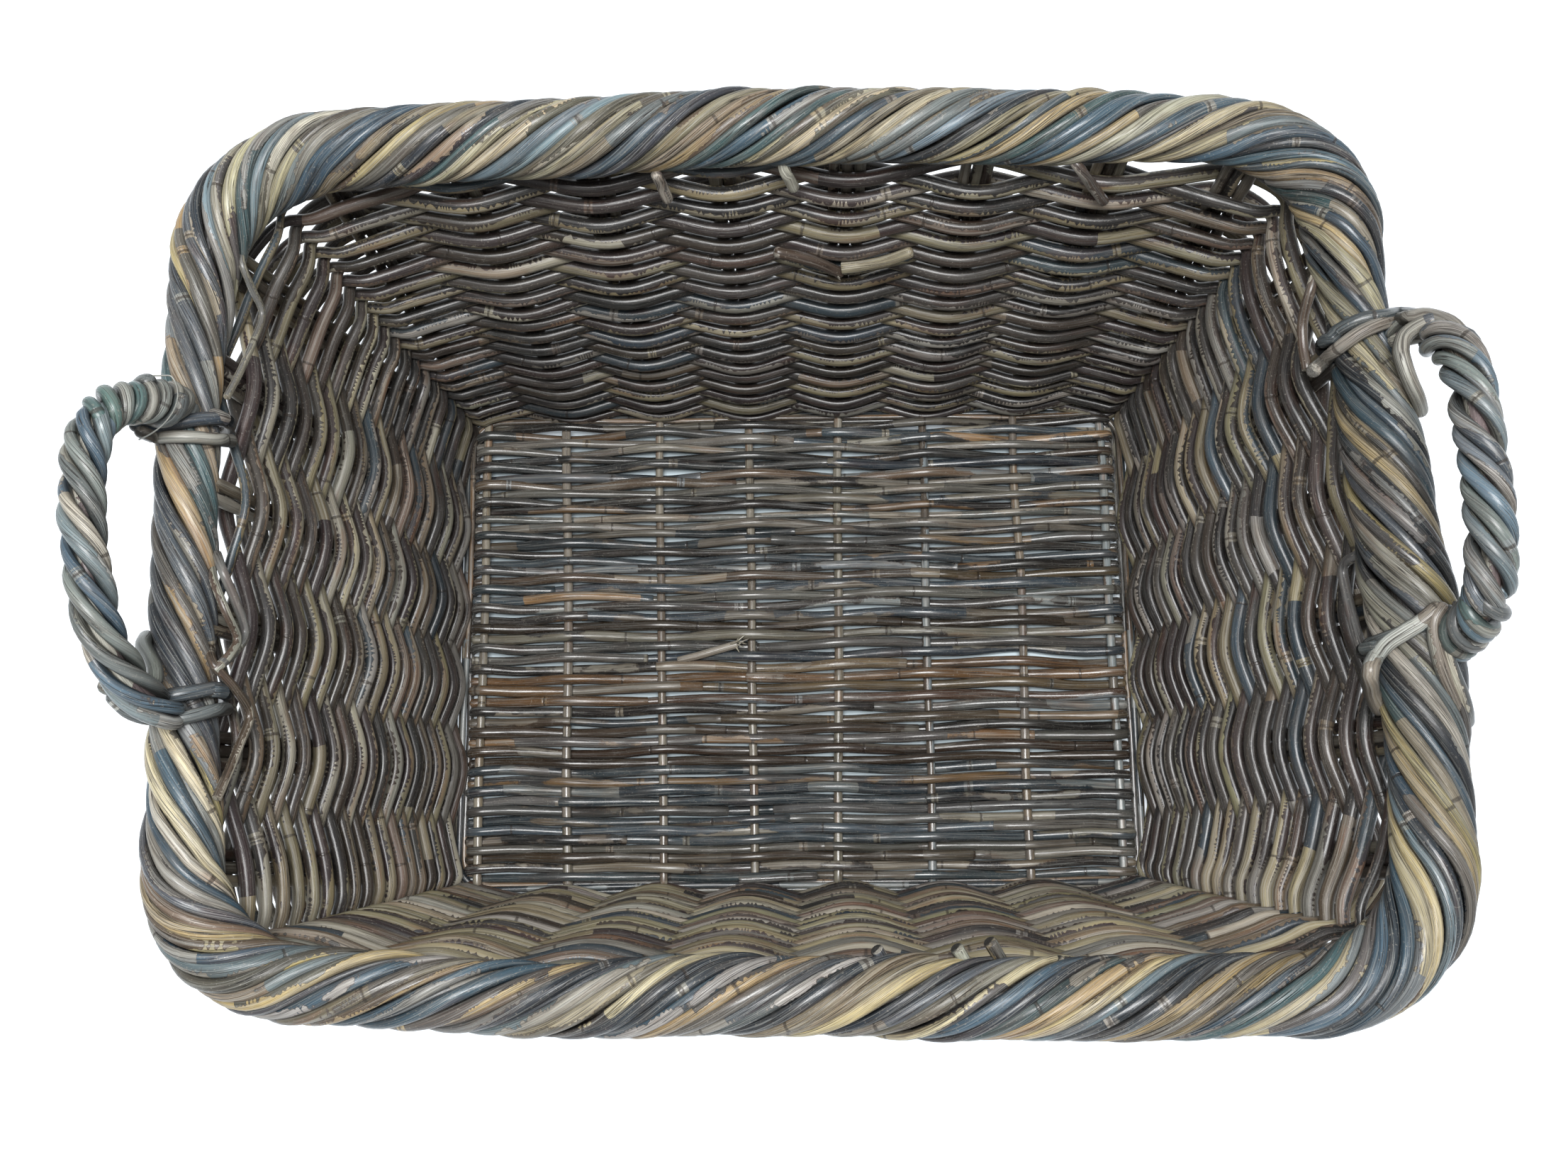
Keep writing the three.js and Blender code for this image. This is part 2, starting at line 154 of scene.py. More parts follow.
def rim_point(u):
    x, y, nx, ny = rounded_rect(RIM_A, RIM_B, RIM_C, u)
    o = rim_deviation(np.atleast_1d(u))
    return np.stack([x + nx * o + RIM_SHIFT[0], y + ny * o + RIM_SHIFT[1], np.full_like(x, RIM_Z)], 1)


def rope_point(u):
    """The rope border's middle line: the underside stays level, and the thickness changes above it."""
    p = rim_point(u)
    _, _, nx, ny = rounded_rect(RIM_A, RIM_B, RIM_C, u)
    o = periodic(ROPE_OUT, u)
    return np.stack([p[:, 0] + nx * o, p[:, 1] + ny * o, RIM_Z - (ROPE_R - rope_radius(u))], 1)


_share = np.arange(1440) / 1440
_share_at = rim_point(_share)
_rope_at, _rope_r = rope_point(_share), rope_radius(_share)


def rim_share(x, y):
    return _share[np.argmin(np.hypot(_share_at[:, 0] - x, _share_at[:, 1] - y))]


def wall(z):
    t = z / RIM_Z
    return mix(242.0, RIM_A, t), mix(174.5, RIM_B, t), mix(25.0, 76.0, t)


def wall_distance(p):
    """Signed distance of a point from the wall's middle surface, outwards positive."""
    t = p[2] / RIM_Z
    a, b, c = wall(p[2])
    x, y = p[0] - RIM_SHIFT[0] * t, p[1] - RIM_SHIFT[1] * t
    qx, qy = abs(x) - (a - c), abs(y) - (b - c)
    d = math.hypot(max(qx, 0), max(qy, 0)) + min(max(qx, qy), 0) - c
    return d - float(rim_deviation(np.array([rim_share(p[0], p[1])]))[0]) * t


def on_wall(u, v, depth):
    """Where the line of sight through a pixel comes within depth of the wall's middle surface, from inside."""
    lo, hi = 0.0, 330.0
    for _ in range(40):
        mid = (lo + hi) / 2
        if wall_distance(at_z(u, v, mid)) + depth > 0:
            lo = mid
        else:
            hi = mid
    return at_z(u, v, (lo + hi) / 2)


def on_rope(u, v, r):
    """Where the line of sight through a pixel first comes within the rope border's radius plus r of the rope's middle."""
    d = ray(u, v)
    z = np.linspace(356, 308, 240)
    p = CAM[None, :] + d[None, :] * ((z - CAM[2]) / d[2])[:, None]
    near = np.min(np.linalg.norm(p[:, None, :] - _rope_at[None, ::2, :], axis=2) - _rope_r[None, ::2], axis=1)
    hit = np.nonzero(near <= r)[0]
    return p[hit[0]] if len(hit) else p[np.argmin(near)]


# ---- stakes ------------------------------------------------------------------------
stakes = []


def add_stake(name, place):
    tx, ty, _, _ = place(RIM_Z)
    o = float(rim_deviation(np.array([rim_share(tx, ty)]))[0])

    def at(z):
        x, y, nx, ny = place(z)
        k = z / RIM_Z
        return x + (nx * o + RIM_SHIFT[0]) * k, y + (ny * o + RIM_SHIFT[1]) * k, nx, ny

    stakes.append((name, at))


def on_arc(sx, sy, degrees):
    ang = math.radians(degrees)

    def place(z):
        a, b, c = wall(z)
        return (sx * (a - c + c * math.cos(ang)), sy * (b - c + c * math.sin(ang)), sx * math.cos(ang), sy * math.sin(ang))

    return place


def on_short(sx, y0, y1):
    return lambda z: (sx * wall(z)[0], mix(y0, y1, z / RIM_Z), sx, 0)


def on_long(sy, x0, x1):
    return lambda z: (mix(x0, x1, z / RIM_Z), sy * wall(z)[1], 0, sy)


SHORT_AT, LONG_AT = ((28, 33), (84, 99)), ((32, 34.5), (96, 106), (160, 177))
add_stake("right_1", on_arc(1, -1, 14))
for n, (k, s) in enumerate(((1, -1), (0, -1), (0, 1), (1, 1))):
    add_stake(f"right_{n + 2}", on_short(1, s * SHORT_AT[k][0], s * SHORT_AT[k][1]))
add_stake("right_6", on_arc(1, 1, 14))
add_stake("back_1", on_arc(1, 1, 70))
for n, (k, s) in enumerate(((2, 1), (1, 1), (0, 1), (0, -1), (1, -1), (2, -1))):
    add_stake(f"back_{n + 2}", on_long(1, s * LONG_AT[k][0], s * LONG_AT[k][1]))
add_stake("back_8", on_arc(-1, 1, 70))
add_stake("left_1", on_arc(-1, 1, 14))
for n, (k, s) in enumerate(((1, 1), (0, 1), (0, -1), (1, -1))):
    add_stake(f"left_{n + 2}", on_short(-1, s * SHORT_AT[k][0], s * SHORT_AT[k][1]))
add_stake("left_6", on_arc(-1, -1, 14))
add_stake("front_1", on_arc(-1, -1, 70))
for n, (k, s) in enumerate(((2, -1), (1, -1), (0, -1), (0, 1), (1, 1), (2, 1))):
    add_stake(f"front_{n + 2}", on_long(-1, s * LONG_AT[k][0], s * LONG_AT[k][1]))
add_stake("front_8", on_arc(1, -1, 70))
CORNERS = {5: (1, 1), 13: (-1, 1), 19: (-1, -1), 27: (1, -1)}


# ---- curves -------------------------------------------------------------------------
def spline(points, closed=False, step=4.0, sub=16):
    """A smooth curve through the points, at even steps. Returns its points, lengths along it, and the length at each given point."""
    p = np.asarray(points, float)
    n = len(p)
    q = np.vstack([p[-1:], p, p[:2]]) if closed else np.vstack([2 * p[0] - p[1], p, 2 * p[-1] - p[-2]])
    d = np.sqrt(np.maximum(np.linalg.norm(np.diff(q, axis=0), axis=1), 1e-6))
    t = np.concatenate([[0], np.cumsum(d)])
    segs = n if closed else n - 1
    w = np.linspace(0, 1, sub, endpoint=False)[None, :, None]
    i = np.arange(segs)
    p0, p1, p2, p3 = (q[i + k][:, None, :] for k in range(4))
    t0, t1, t2, t3 = (t[i + k][:, None, None] for k in range(4))
    m1 = (p1 - p0) / (t1 - t0) - (p2 - p0) / (t2 - t0) + (p2 - p1) / (t2 - t1)
    m2 = (p2 - p1) / (t2 - t1) - (p3 - p1) / (t3 - t1) + (p3 - p2) / (t3 - t2)
    h = t2 - t1
    dense = (2 * w**3 - 3 * w**2 + 1) * p1 + (w**3 - 2 * w**2 + w) * h * m1 + (3 * w**2 - 2 * w**3) * p2 + (w**3 - w**2) * h * m2
    dense = np.vstack([dense.reshape(-1, p.shape[1]), q[1 + segs : 2 + segs]])
    s = np.concatenate([[0], np.cumsum(np.linalg.norm(np.diff(dense[:, :3], axis=0), axis=1))])
    marks = s[np.arange(segs + 1) * sub]
    m = max(int(math.ceil(s[-1] / step)), 2)
    e = np.linspace(0, s[-1], m + 1)
    out = np.stack([np.interp(e, s, dense[:, k]) for k in range(p.shape[1])], 1)
    return out, e, marks


def smooth_noise(n_along, spacing, rng, amp=1.0, length=None):
    """A smooth random run over the given positions."""
    s = np.asarray(n_along, float)
    total = float(s[-1]) if length is None else length
    k = max(int(total / spacing) + 4, 5)
    v = rng.normal(0, 1, k)
    x = (s - s[0]) / spacing
    i = np.clip(np.floor(x).astype(int), 0, k - 4)
    t = x - i
    a, b, c, d = v[i], v[i + 1], v[i + 2], v[i + 3]
    return amp * (b + 0.5 * t * (c - a + t * (2 * a - 5 * b + 4 * c - d + t * (3 * (b - c) + d - a))))


def unit(v):
    return v / np.maximum(np.linalg.norm(v, axis=-1, keepdims=True), 1e-9)


def directions(p, closed=False):
    if closed:
        return unit(np.roll(p, -1, 0) - np.roll(p, 1, 0))
    return unit(np.gradient(p, axis=0))


# ---- pieces: gathers rods into one mesh -------------------------------------------------
# the last attribute holds how far a rod's skin has peeled, its grain, and a shade factor that carries painted shade as
# well as the rod's own tone
ATTRS = ("rod", "rnd", "skin", "peel", "wear_and_shade")


class Piece:
    def __init__(self, name):
        self.name, self.n = name, 0
        self.v, self.quads, self.tris = [], [], []
        self.att = {a: [] for a in ATTRS}

    def _ring(self, centre, n, b, r, cosines, sines):
        return centre[:, None, :] + n[:, None, :] * (r * cosines)[..., None] + b[:, None, :] * (r * sines)[..., None]

    def rod(self, p, radius, look, ref=(0, 0, 1), sides=12, closed=False, ends=("round", "round"), lump=0.03, turn=0.0, oval=None):
        """A rod swept along the points p. radius is one number or one for each point. look holds its colours, and ends says how each end is finished."""
        p = np.asarray(p, float)
        k = len(p)
        t = directions(p, closed)
        ref = np.broadcast_to(np.asarray(ref, float), p.shape)
        n = unit(ref - t * np.sum(ref * t, 1, keepdims=True))
        b = np.cross(t, n)
        r = np.broadcast_to(np.asarray(radius, float), (k,)).copy()
        u = np.concatenate([[0], np.cumsum(np.linalg.norm(np.diff(p, axis=0), axis=1))])
        rng = look["rng"]
        seed = rng.random(4)
        ang = 2 * np.pi * (np.arange(sides) + 0.5) / sides
        # a grown rod is never quite round or even
        swell = 1 + lump * smooth_noise(u, 14.0, rng)
        out = 1 + 0.5 * lump * np.cos(2 * (ang[None, :] + turn) + (seed[0] * 6.28 + u[:, None] / 60)) + 0.35 * lump * np.cos(3 * ang[None, :] + seed[1] * 6.28 + u[:, None] / 23)
        node = look["node"]
        dist = np.abs(np.mod(u + node[1], node[0]) - node[0] / 2)
        swell = swell + 0.05 * np.exp(-((dist / 2.6) ** 2))
        rr = (r * swell)[:, None] * out
        c, s = np.cos(ang)[None, :], np.sin(ang)[None, :]
        if oval:
            c, s = c * oval[0], s * oval[1]
        rings, lengths, radii, wears, bare = [], [], [], [], []
        body = self._ring(p, n, b, rr, np.broadcast_to(c, rr.shape), np.broadcast_to(s, rr.shape))
        pre, post = [], []

        def cap(i, sign, kind):
            """Rings beyond an end, from the rod outwards, and the tip."""
            e, rad = p[i], r[i] * swell[i]
            made = []
            if kind == "round":
                steps = [(math.sin(f), math.cos(f)) for f in (math.radians(28), math.radians(58))]
                tip = 0.92
            elif kind == "tuck":
                steps, tip = [(0.35, 0.8)], 0.6
            else:
                steps, tip = [(0.06, 0.965), (0.09, 0.9), (0.02, 0.45)], -0.02
            for a, w in steps:
                centre = e + t[i] * sign * a * rad
                made.append((centre + (n[i][None, :] * c.T + b[i][None, :] * s.T) * rad * w * out[i][:, None], u[i] + sign * a * rad, w))
            return made, (e + t[i] * sign * tip * rad, u[i] + sign * tip * rad)

        rings_all = [body.reshape(-1, 3)]
        u_all = [np.repeat(u, sides)]
        w_all = [np.ones(k * sides)]
        i_all = [np.repeat(np.arange(k), sides)]
        fresh = [np.zeros(k * sides)]
        base = self.n
        quads = []
        a0 = np.arange(k if closed else k - 1)[:, None] * sides
        j = np.arange(sides)[None, :]
        j1 = (j + 1) % sides
        nxt = ((a0 // sides + 1) % k) * sides
        quads.append(np.stack([a0 + j, a0 + j1, nxt + j1, nxt + j], -1).reshape(-1, 4))
        tris = []
        count = k * sides
        if not closed:
            for i, sign, kind in ((0, -1, ends[0]), (k - 1, 1, ends[1])):
                made, (tip, tip_u) = cap(i, sign, kind)
                prev = i * sides
                for ring, uu, w in made:
                    rings_all.append(ring)
                    u_all.append(np.full(sides, uu))
                    w_all.append(np.full(sides, w))
                    i_all.append(np.full(sides, i))
                    fresh.append(np.full(sides, 1.0 if kind == "cut" and w < 0.96 else 0.0))
                    a, bb = prev + np.arange(sides), prev + (np.arange(sides) + 1) % sides
                    c2, d2 = count + np.arange(sides), count + (np.arange(sides) + 1) % sides
                    quads.append(np.stack([a, bb, d2, c2], 1) if sign > 0 else np.stack([c2, d2, bb, a], 1))
                    prev = count
                    count += sides
                rings_all.append(tip[None, :])
                u_all.append(np.array([tip_u]))
                w_all.append(np.array([0.0]))
                i_all.append(np.array([i]))
                fresh.append(np.array([1.0 if kind == "cut" else 0.0]))
                a, bb = prev + np.arange(sides), prev + (np.arange(sides) + 1) % sides
                tt = np.full(sides, count)
                tris.append(np.stack([a, bb, tt], 1) if sign > 0 else np.stack([bb, a, tt], 1))
                count += 1
        v = np.vstack(rings_all)
        uu, ww, ii, fr = np.concatenate(u_all), np.concatenate(w_all), np.concatenate(i_all), np.concatenate(fresh)
        aa = np.concatenate([np.tile(ang, k)] + [np.tile(ang, len(x) // sides) if len(x) >= sides else np.zeros(len(x)) for x in u_all[1:]])
        mean_r = float(np.mean(r))
        self.v.append(v)
        self.quads.append(np.concatenate(quads) + base)
        if tris:
            self.tris.append(np.concatenate(tris) + base)
        self.att["rod"].append(np.stack([uu + look["u0"], mean_r * ww * np.cos(aa), mean_r * ww * np.sin(aa)], 1))

        def each(x):
            x = np.asarray(x, float)
            return np.broadcast_to(x, (len(v), 3)) if x.ndim == 1 else x[ii]

        self.att["rnd"].append(each(look["rnd"]))
        self.att["skin"].append(each(look["skin"]))
        peel = each(look["peel"]).copy()
        peel[fr > 0] = mix(peel[fr > 0], np.array([0.36, 0.32, 0.25]), 0.5)
        self.att["peel"].append(peel)
        wear_and_shade = each(look["wear_and_shade"]).copy()
        wear_and_shade[fr > 0, 0] = 1.0
        self.att["wear_and_shade"].append(wear_and_shade)
        self.n += count

    def build(self, material, slot, *nodes):
        v = np.vstack(self.v) * MM
        quads = np.vstack(self.quads)
        tris = np.vstack(self.tris) if self.tris else np.zeros((0, 3), int)
        mesh = bpy.data.meshes.new(self.name)
        mesh.vertices.add(len(v))
        mesh.vertices.foreach_set("co", v.astype(np.float32).ravel())
        loops = np.concatenate([quads.ravel(), tris.ravel()]).astype(np.int32)
        mesh.loops.add(len(loops))
        mesh.loops.foreach_set("vertex_index", loops)
        sizes = np.concatenate([np.full(len(quads), 4), np.full(len(tris), 3)]).astype(np.int32)
        starts = np.concatenate([[0], np.cumsum(sizes)[:-1]]).astype(np.int32)
        mesh.polygons.add(len(sizes))
        mesh.polygons.foreach_set("loop_start", starts)
        mesh.polygons.foreach_set("loop_total", sizes)
        for a in ATTRS:
            layer = mesh.attributes.new(a, "FLOAT_VECTOR", "POINT")
            layer.data.foreach_set("vector", np.vstack(self.att[a]).astype(np.float32).ravel())
        mesh.update()
        mesh.validate()
        mesh.shade_smooth()
        mesh.materials.append(material)
        obj = bpy.data.objects.new(self.name, mesh)
        bpy.context.scene.collection.objects.link(obj)
        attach(obj, "root")
        if nodes:
            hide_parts(*nodes)
        return obj


# ---- rattan: a procedural material that reads each rod's own coordinates and colours -------
class Nodes:
    def __init__(self, mat):
        mat.use_nodes = True
        self.t = mat.node_tree
        self.t.nodes.clear()

    def new(self, kind, **values):
        n = self.t.nodes.new("ShaderNode" + kind)
        for k, v in values.items():
            setattr(n, k, v)
        return n

    def put(self, socket, value):
        if isinstance(value, bpy.types.NodeSocket):
            self.t.links.new(value, socket)
        else:
            socket.default_value = value

    def math(self, op, a, b=None, c=None, clamp=False):
        n = self.new("Math", operation=op, use_clamp=clamp)
        for s, v in zip(n.inputs, (a, b, c)):
            if v is not None:
                self.put(s, v)
        return n.outputs[0]

    def vec(self, op, a, b=None, scale=None):
        n = self.new("VectorMath", operation=op)
        self.put(n.inputs[0], a)
        if b is not None:
            self.put(n.inputs[1], b)
        if scale is not None:
            self.put(n.inputs["Scale"], scale)
        return n.outputs[0]

    def attr(self, name):
        return self.new("Attribute", attribute_name=name).outputs["Vector"]

    def parts(self, v):
        n = self.new("SeparateXYZ")
        self.put(n.inputs[0], v)
        return n.outputs

    def noise(self, v, detail=2.0, rough=0.5, dist=0.0):
        n = self.new("TexNoise", noise_dimensions="3D")
        self.put(n.inputs["Vector"], v)
        n.inputs["Scale"].default_value = 1.0
        n.inputs["Detail"].default_value = detail
        n.inputs["Roughness"].default_value = rough
        n.inputs["Distortion"].default_value = dist
        return n.outputs["Fac"]

    def ramp(self, x, lo, hi, a=0.0, b=1.0, kind="SMOOTHSTEP"):
        n = self.new("MapRange", interpolation_type=kind)
        for s, v in zip(("Value", "From Min", "From Max", "To Min", "To Max"), (x, lo, hi, a, b)):
            self.put(n.inputs[s], v)
        return n.outputs[0]

    def mix(self, f, a, b, blend="MIX"):
        n = self.new("Mix", data_type="RGBA", blend_type=blend)
        self.put(n.inputs[0], f)
        self.put(n.inputs[6], a)
        self.put(n.inputs[7], b)
        return n.outputs[2]

    def mixf(self, f, a, b):
        n = self.new("Mix", data_type="FLOAT")
        self.put(n.inputs[0], f)
        self.put(n.inputs[2], a)
        self.put(n.inputs[3], b)
        return n.outputs[0]


def rattan(name, gloss=0.34, matt=0.52, relief=1.0, coat=0.1, streak=0.5, crevice=0.35, toward=0.0, spread=6.28, tooth=0.3, ragged=0.4, soft=0.012, fine=1.0, out_face=0.0, crevice_shade_to=0.62, lines=0.0, rusty=1.0, runs=1.5, jumps=0.9, wander=5.0, twice=False):
    mat = bpy.data.materials.new(name)
    g = Nodes(mat)
    rod, rnd = g.attr("rod"), g.attr("rnd")
    u, across, along_side = g.parts(rod)
    r1, r2, r3 = g.parts(rnd)
    amount, grain, shade = g.parts(g.attr("wear_and_shade"))
    q = g.vec("ADD", rod, g.vec("MULTIPLY", rnd, (811.0, 97.0, 61.0)))
    size = g.math("MAXIMUM", g.math("SQRT", g.math("ADD", g.math("MULTIPLY", across, across), g.math("MULTIPLY", along_side, along_side))), 0.3)
    facing = g.math("DIVIDE", across, size)
    sideways = g.math("DIVIDE", along_side, size)

    def at(kx, kr, shift=(0.0, 0.0, 0.0)):
        return g.vec("ADD", g.vec("MULTIPLY", q, (kx, kr, kr)), shift)

    # where the dark skin has flaked away: a strip along one side of the rod that widens and narrows, with teeth along its edges
    drift = g.math("SUBTRACT", g.noise(at(0.011, 0.0, (2.1, 6.6, 1.2)), 1.0), 0.5)
    phi = g.math("ADD", g.math("ADD", g.math("MULTIPLY", g.math("SUBTRACT", r1, 0.5), spread), toward), g.math("MULTIPLY", drift, wander))
    dot = g.math("ADD", g.math("MULTIPLY", facing, g.math("COSINE", phi)), g.math("MULTIPLY", sideways, g.math("SINE", phi)))
    if twice:
        # a second strip on the outer side
        psi = g.math("ADD", g.math("ADD", g.math("MULTIPLY", g.math("SUBTRACT", r2, 0.5), spread), -toward), g.math("MULTIPLY", drift, -wander))
        dot = g.math("MAXIMUM", dot, g.math("ADD", g.math("MULTIPLY", facing, g.math("COSINE", psi)), g.math("MULTIPLY", sideways, g.math("SINE", psi))))
    sections = g.noise(at(0.024, 0.0, (2.9, 5.3, 8.1)), 2.0, 0.6)
    joints = g.noise(at(0.012, 0.0, (5.9, 1.3, 3.1)), 0.0)
    step_on = g.ramp(joints, 0.495, 0.505)
    share = g.math("ADD", amount, g.math("MULTIPLY", g.math("SUBTRACT", sections, 0.5), runs))
    share = g.math("ADD", share, g.math("MULTIPLY", g.math("SUBTRACT", step_on, 0.5), g.math("MULTIPLY", g.ramp(r2, 0.7, 0.95) if twice else r2, jumps)))
    level = g.math("SUBTRACT", 1.3, g.math("MULTIPLY", share, 2.6))
    teeth_on = g.ramp(g.noise(at(0.03, 0.0, (9.0, 2.0, 4.0)), 1.0), 0.38, 0.56)
    bend = g.math("MULTIPLY", g.noise(at(0.08, 0.0, (1.7, 0.3, 8.8)), 1.0), 7.0)
    teeth = g.math("MULTIPLY", g.math("PINGPONG", g.math("ADD", g.math("MULTIPLY", u, g.math("ADD", 0.21, g.math("MULTIPLY", r3, 0.12))), bend), 0.5), 2.0)
    tall = g.math("ADD", 0.3, g.math("MULTIPLY", g.noise(at(0.2, 0.0, (3.3, 7.7, 0.4)), 1.0), 1.4))
    sharp = g.noise(at(0.5, 0.35, (5.5, 6.1, 2.9)), 2.0, 0.6)
    islands = g.noise(at(0.06, 0.16, (7.5, 3.1, 0.9)), 2.0, 0.55)
    field = g.math("SUBTRACT", dot, level)
    field = g.math("ADD", field, g.math("MULTIPLY", g.math("MULTIPLY", g.math("SUBTRACT", teeth, 0.5), tall), g.math("MULTIPLY", teeth_on, 2 * tooth)))
    field = g.math("ADD", field, g.math("MULTIPLY", g.math("SUBTRACT", sharp, 0.5), ragged))
    over = g.math("ADD", field, g.math("MULTIPLY", g.math("SUBTRACT", islands, 0.5), ragged * 3.5))
    bare = g.ramp(over, -soft, soft)
    edge = g.math("MULTIPLY", g.ramp(over, -0.12, 0.0), g.math("SUBTRACT", 1.0, g.ramp(over, 0.0, 0.07)))

    # lengthwise grain, cracks, blotches, specks
    grain_a = g.noise(at(0.040, 1.7 * fine, (0.7, 5.2, 3.3)), 3.0, 0.65)
    grain_b = g.noise(at(0.010, 0.7, (4.7, 1.2, 7.3)), 2.0, 0.5)
    crack_n = g.noise(at(0.016, 1.0, (8.7, 3.2, 1.1)), 1.0)
    crack = g.math("SUBTRACT", 1.0, g.ramp(g.math("ABSOLUTE", g.math("SUBTRACT", crack_n, 0.52)), 0.004, 0.024))
    crack = g.math("MULTIPLY", crack, g.math("MULTIPLY", grain, g.ramp(g.noise(at(0.03, 0.1, (2.2, 2.0, 9.9)), 0.0), 0.42, 0.54)))
    blotch = g.noise(at(0.05, 0.2, (6.6, 0.4, 2.7)), 3.0, 0.6)
    speck = g.ramp(g.noise(at(0.8, 1.0, (1.1, 8.2, 3.7)), 2.0, 0.6), 0.62, 0.69)

    # growth rings of the cane
    period = g.math("ADD", 120.0, g.math("MULTIPLY", r1, 130.0))
    near = g.math("ABSOLUTE", g.math("SUBTRACT", g.math("MODULO", g.math("ADD", g.math("ADD", u, 4000.0), g.math("MULTIPLY", r2, 997.0)), period), g.math("MULTIPLY", period, 0.5)))
    near = g.math("ADD", near, g.math("MULTIPLY", g.math("SUBTRACT", blotch, 0.5), 1.6))
    ring = g.math("SUBTRACT", 1.0, g.ramp(near, 0.35, 1.1))
    halo = g.math("MULTIPLY", g.math("SUBTRACT", 1.0, g.ramp(g.math("ADD", near, g.math("MULTIPLY", teeth, 2.2)), 3.2, 3.8)), g.math("MULTIPLY", g.ramp(r3, 0.45, 0.5), 0.85))

    skin = g.mix(g.math("MULTIPLY", g.ramp(blotch, 0.42, 0.72), 0.7), g.attr("skin"), g.mix(0.5, g.attr("skin"), (*srgb(86, 74, 64), 1)))
    peel = g.mix(g.math("MULTIPLY", g.ramp(blotch, 0.42, 0.70), 0.8), g.attr("peel"), g.mix(0.5, g.attr("peel"), (*srgb(116, 102, 84), 1)))
    rust = g.ramp(g.noise(at(0.02, 0.1, (0.3, 9.1, 6.2)), 2.0, 0.6), 0.57, 0.66)
    peel = g.mix(g.math("MULTIPLY", rust, 0.55 * rusty), peel, g.mix(0.75, peel, (*srgb(128, 88, 62), 1)))
    skin = g.mix(g.math("MULTIPLY", rust, 0.4 * rusty), skin, g.mix(0.8, skin, (*srgb(92, 62, 52), 1)))
    skin = g.mix(g.math("MULTIPLY", g.ramp(grain_a, 0.50, 0.74), streak), skin, g.mix(0.5, g.attr("skin"), (*srgb(168, 166, 158), 1)))
    skin = g.mix(g.math("MULTIPLY", g.ramp(grain_b, 0.52, 0.36), 0.55), skin, g.mix(1.0, skin, (0.42, 0.42, 0.44, 1), "MULTIPLY"))
    peel = g.mix(g.math("MULTIPLY", g.ramp(grain_b, 0.45, 0.66), 0.55), peel, g.mix(0.6, peel, (*srgb(200, 197, 186), 1)))
    peel = g.mix(g.math("MULTIPLY", g.math("MULTIPLY", g.ramp(grain_a, 0.54, 0.38), 0.85), grain), peel, g.mix(0.8, peel, (*srgb(62, 52, 44), 1)))
    col = g.mix(g.math("MAXIMUM", bare, halo), skin, peel)
    if lines:
        # worn cane: fine pale and dark lines along the rod
        pale_line = g.ramp(g.noise(at(0.022, 1.3 * fine, (3.4, 1.9, 5.8)), 2.0, 0.6), 0.54, 0.62)
        dark_line = g.ramp(g.noise(at(0.018, 1.1 * fine, (6.1, 4.9, 0.8)), 2.0, 0.6), 0.54, 0.62)
        col = g.mix(g.math("MULTIPLY", pale_line, 0.55 * lines), col, (*srgb(152, 154, 150), 1))
        col = g.mix(g.math("MULTIPLY", dark_line, 0.6 * lines), col, (*srgb(40, 38, 38), 1))
    col = g.mix(g.math("MULTIPLY", edge, 0.6), col, (*srgb(70, 54, 44), 1))
    col = g.mix(g.math("MULTIPLY", crack, 0.88), col, (*srgb(38, 33, 30), 1))
    col = g.mix(g.math("MULTIPLY", ring, 0.7), col, (*srgb(52, 44, 38), 1))
    col = g.mix(g.math("MULTIPLY", speck, 0.3), col, (*srgb(178, 172, 160), 1))

    # painted shade where the rods touch: each rod is drawn darker on the sides turned away from its open side, and
    # multiplied by its shade factor
    open_side = g.math("ADD", g.math("MULTIPLY", facing, math.cos(out_face)), g.math("MULTIPLY", sideways, math.sin(out_face)))
    if twice:
        open_side = g.math("MAXIMUM", open_side, g.math("MULTIPLY", sideways, 0.95))
    crevice_shade = g.math("ADD", 1.0 - crevice, g.math("MULTIPLY", g.ramp(open_side, -0.35, crevice_shade_to), crevice))
    col = g.mix(1.0, col, shade_colour(g, g.math("MULTIPLY", shade, crevice_shade)), "MULTIPLY")

    bsdf = g.new("BsdfPrincipled")
    g.put(bsdf.inputs["Base Color"], col)
    rough = g.mixf(bare, gloss, matt)
    rough = g.math("ADD", rough, g.math("MULTIPLY", g.math("SUBTRACT", blotch, 0.5), 0.25))
    rough = g.math("ADD", rough, g.math("MULTIPLY", crack, 0.2), clamp=True)
    g.put(bsdf.inputs["Roughness"], rough)
    bsdf.inputs["Specular IOR Level"].default_value = 0.5
    bsdf.inputs["Coat Weight"].default_value = coat
    bsdf.inputs["Coat Roughness"].default_value = 0.2
    height = g.math("MULTIPLY", g.math("SUBTRACT", 1.0, bare), 0.35)
    height = g.math("ADD", height, g.math("MULTIPLY", g.math("MULTIPLY", grain_a, g.mixf(bare, 0.25, 1.0)), g.math("ADD", g.math("MULTIPLY", grain, 0.8), 0.25)))
    height = g.math("SUBTRACT", height, g.math("MULTIPLY", crack, 0.8))
    height = g.math("ADD", height, g.math("MULTIPLY", ring, -0.5))
    height = g.math("ADD", height, g.math("MULTIPLY", blotch, 0.5))
    bump = g.new("Bump")
    bump.inputs["Strength"].default_value = 1.0
    bump.inputs["Distance"].default_value = 0.00032 * relief
    g.put(bump.inputs["Height"], height)
    g.put(bsdf.inputs["Normal"], bump.outputs[0])
    out = g.new("OutputMaterial")
    g.t.links.new(bsdf.outputs[0], out.inputs["Surface"])
    return mat


def shade_colour(g, x):
    n = g.new("CombineXYZ")
    for s in n.inputs:
        g.put(s, x)
    return n.outputs[0]


# ---- colours of the cane, dark skin and the bare wood under it ----------------------------------
def srgb(*c):
    return tuple((x / 255 / 12.92) if x < 11 else ((x / 255 + 0.055) / 1.055) ** 2.4 for x in c)


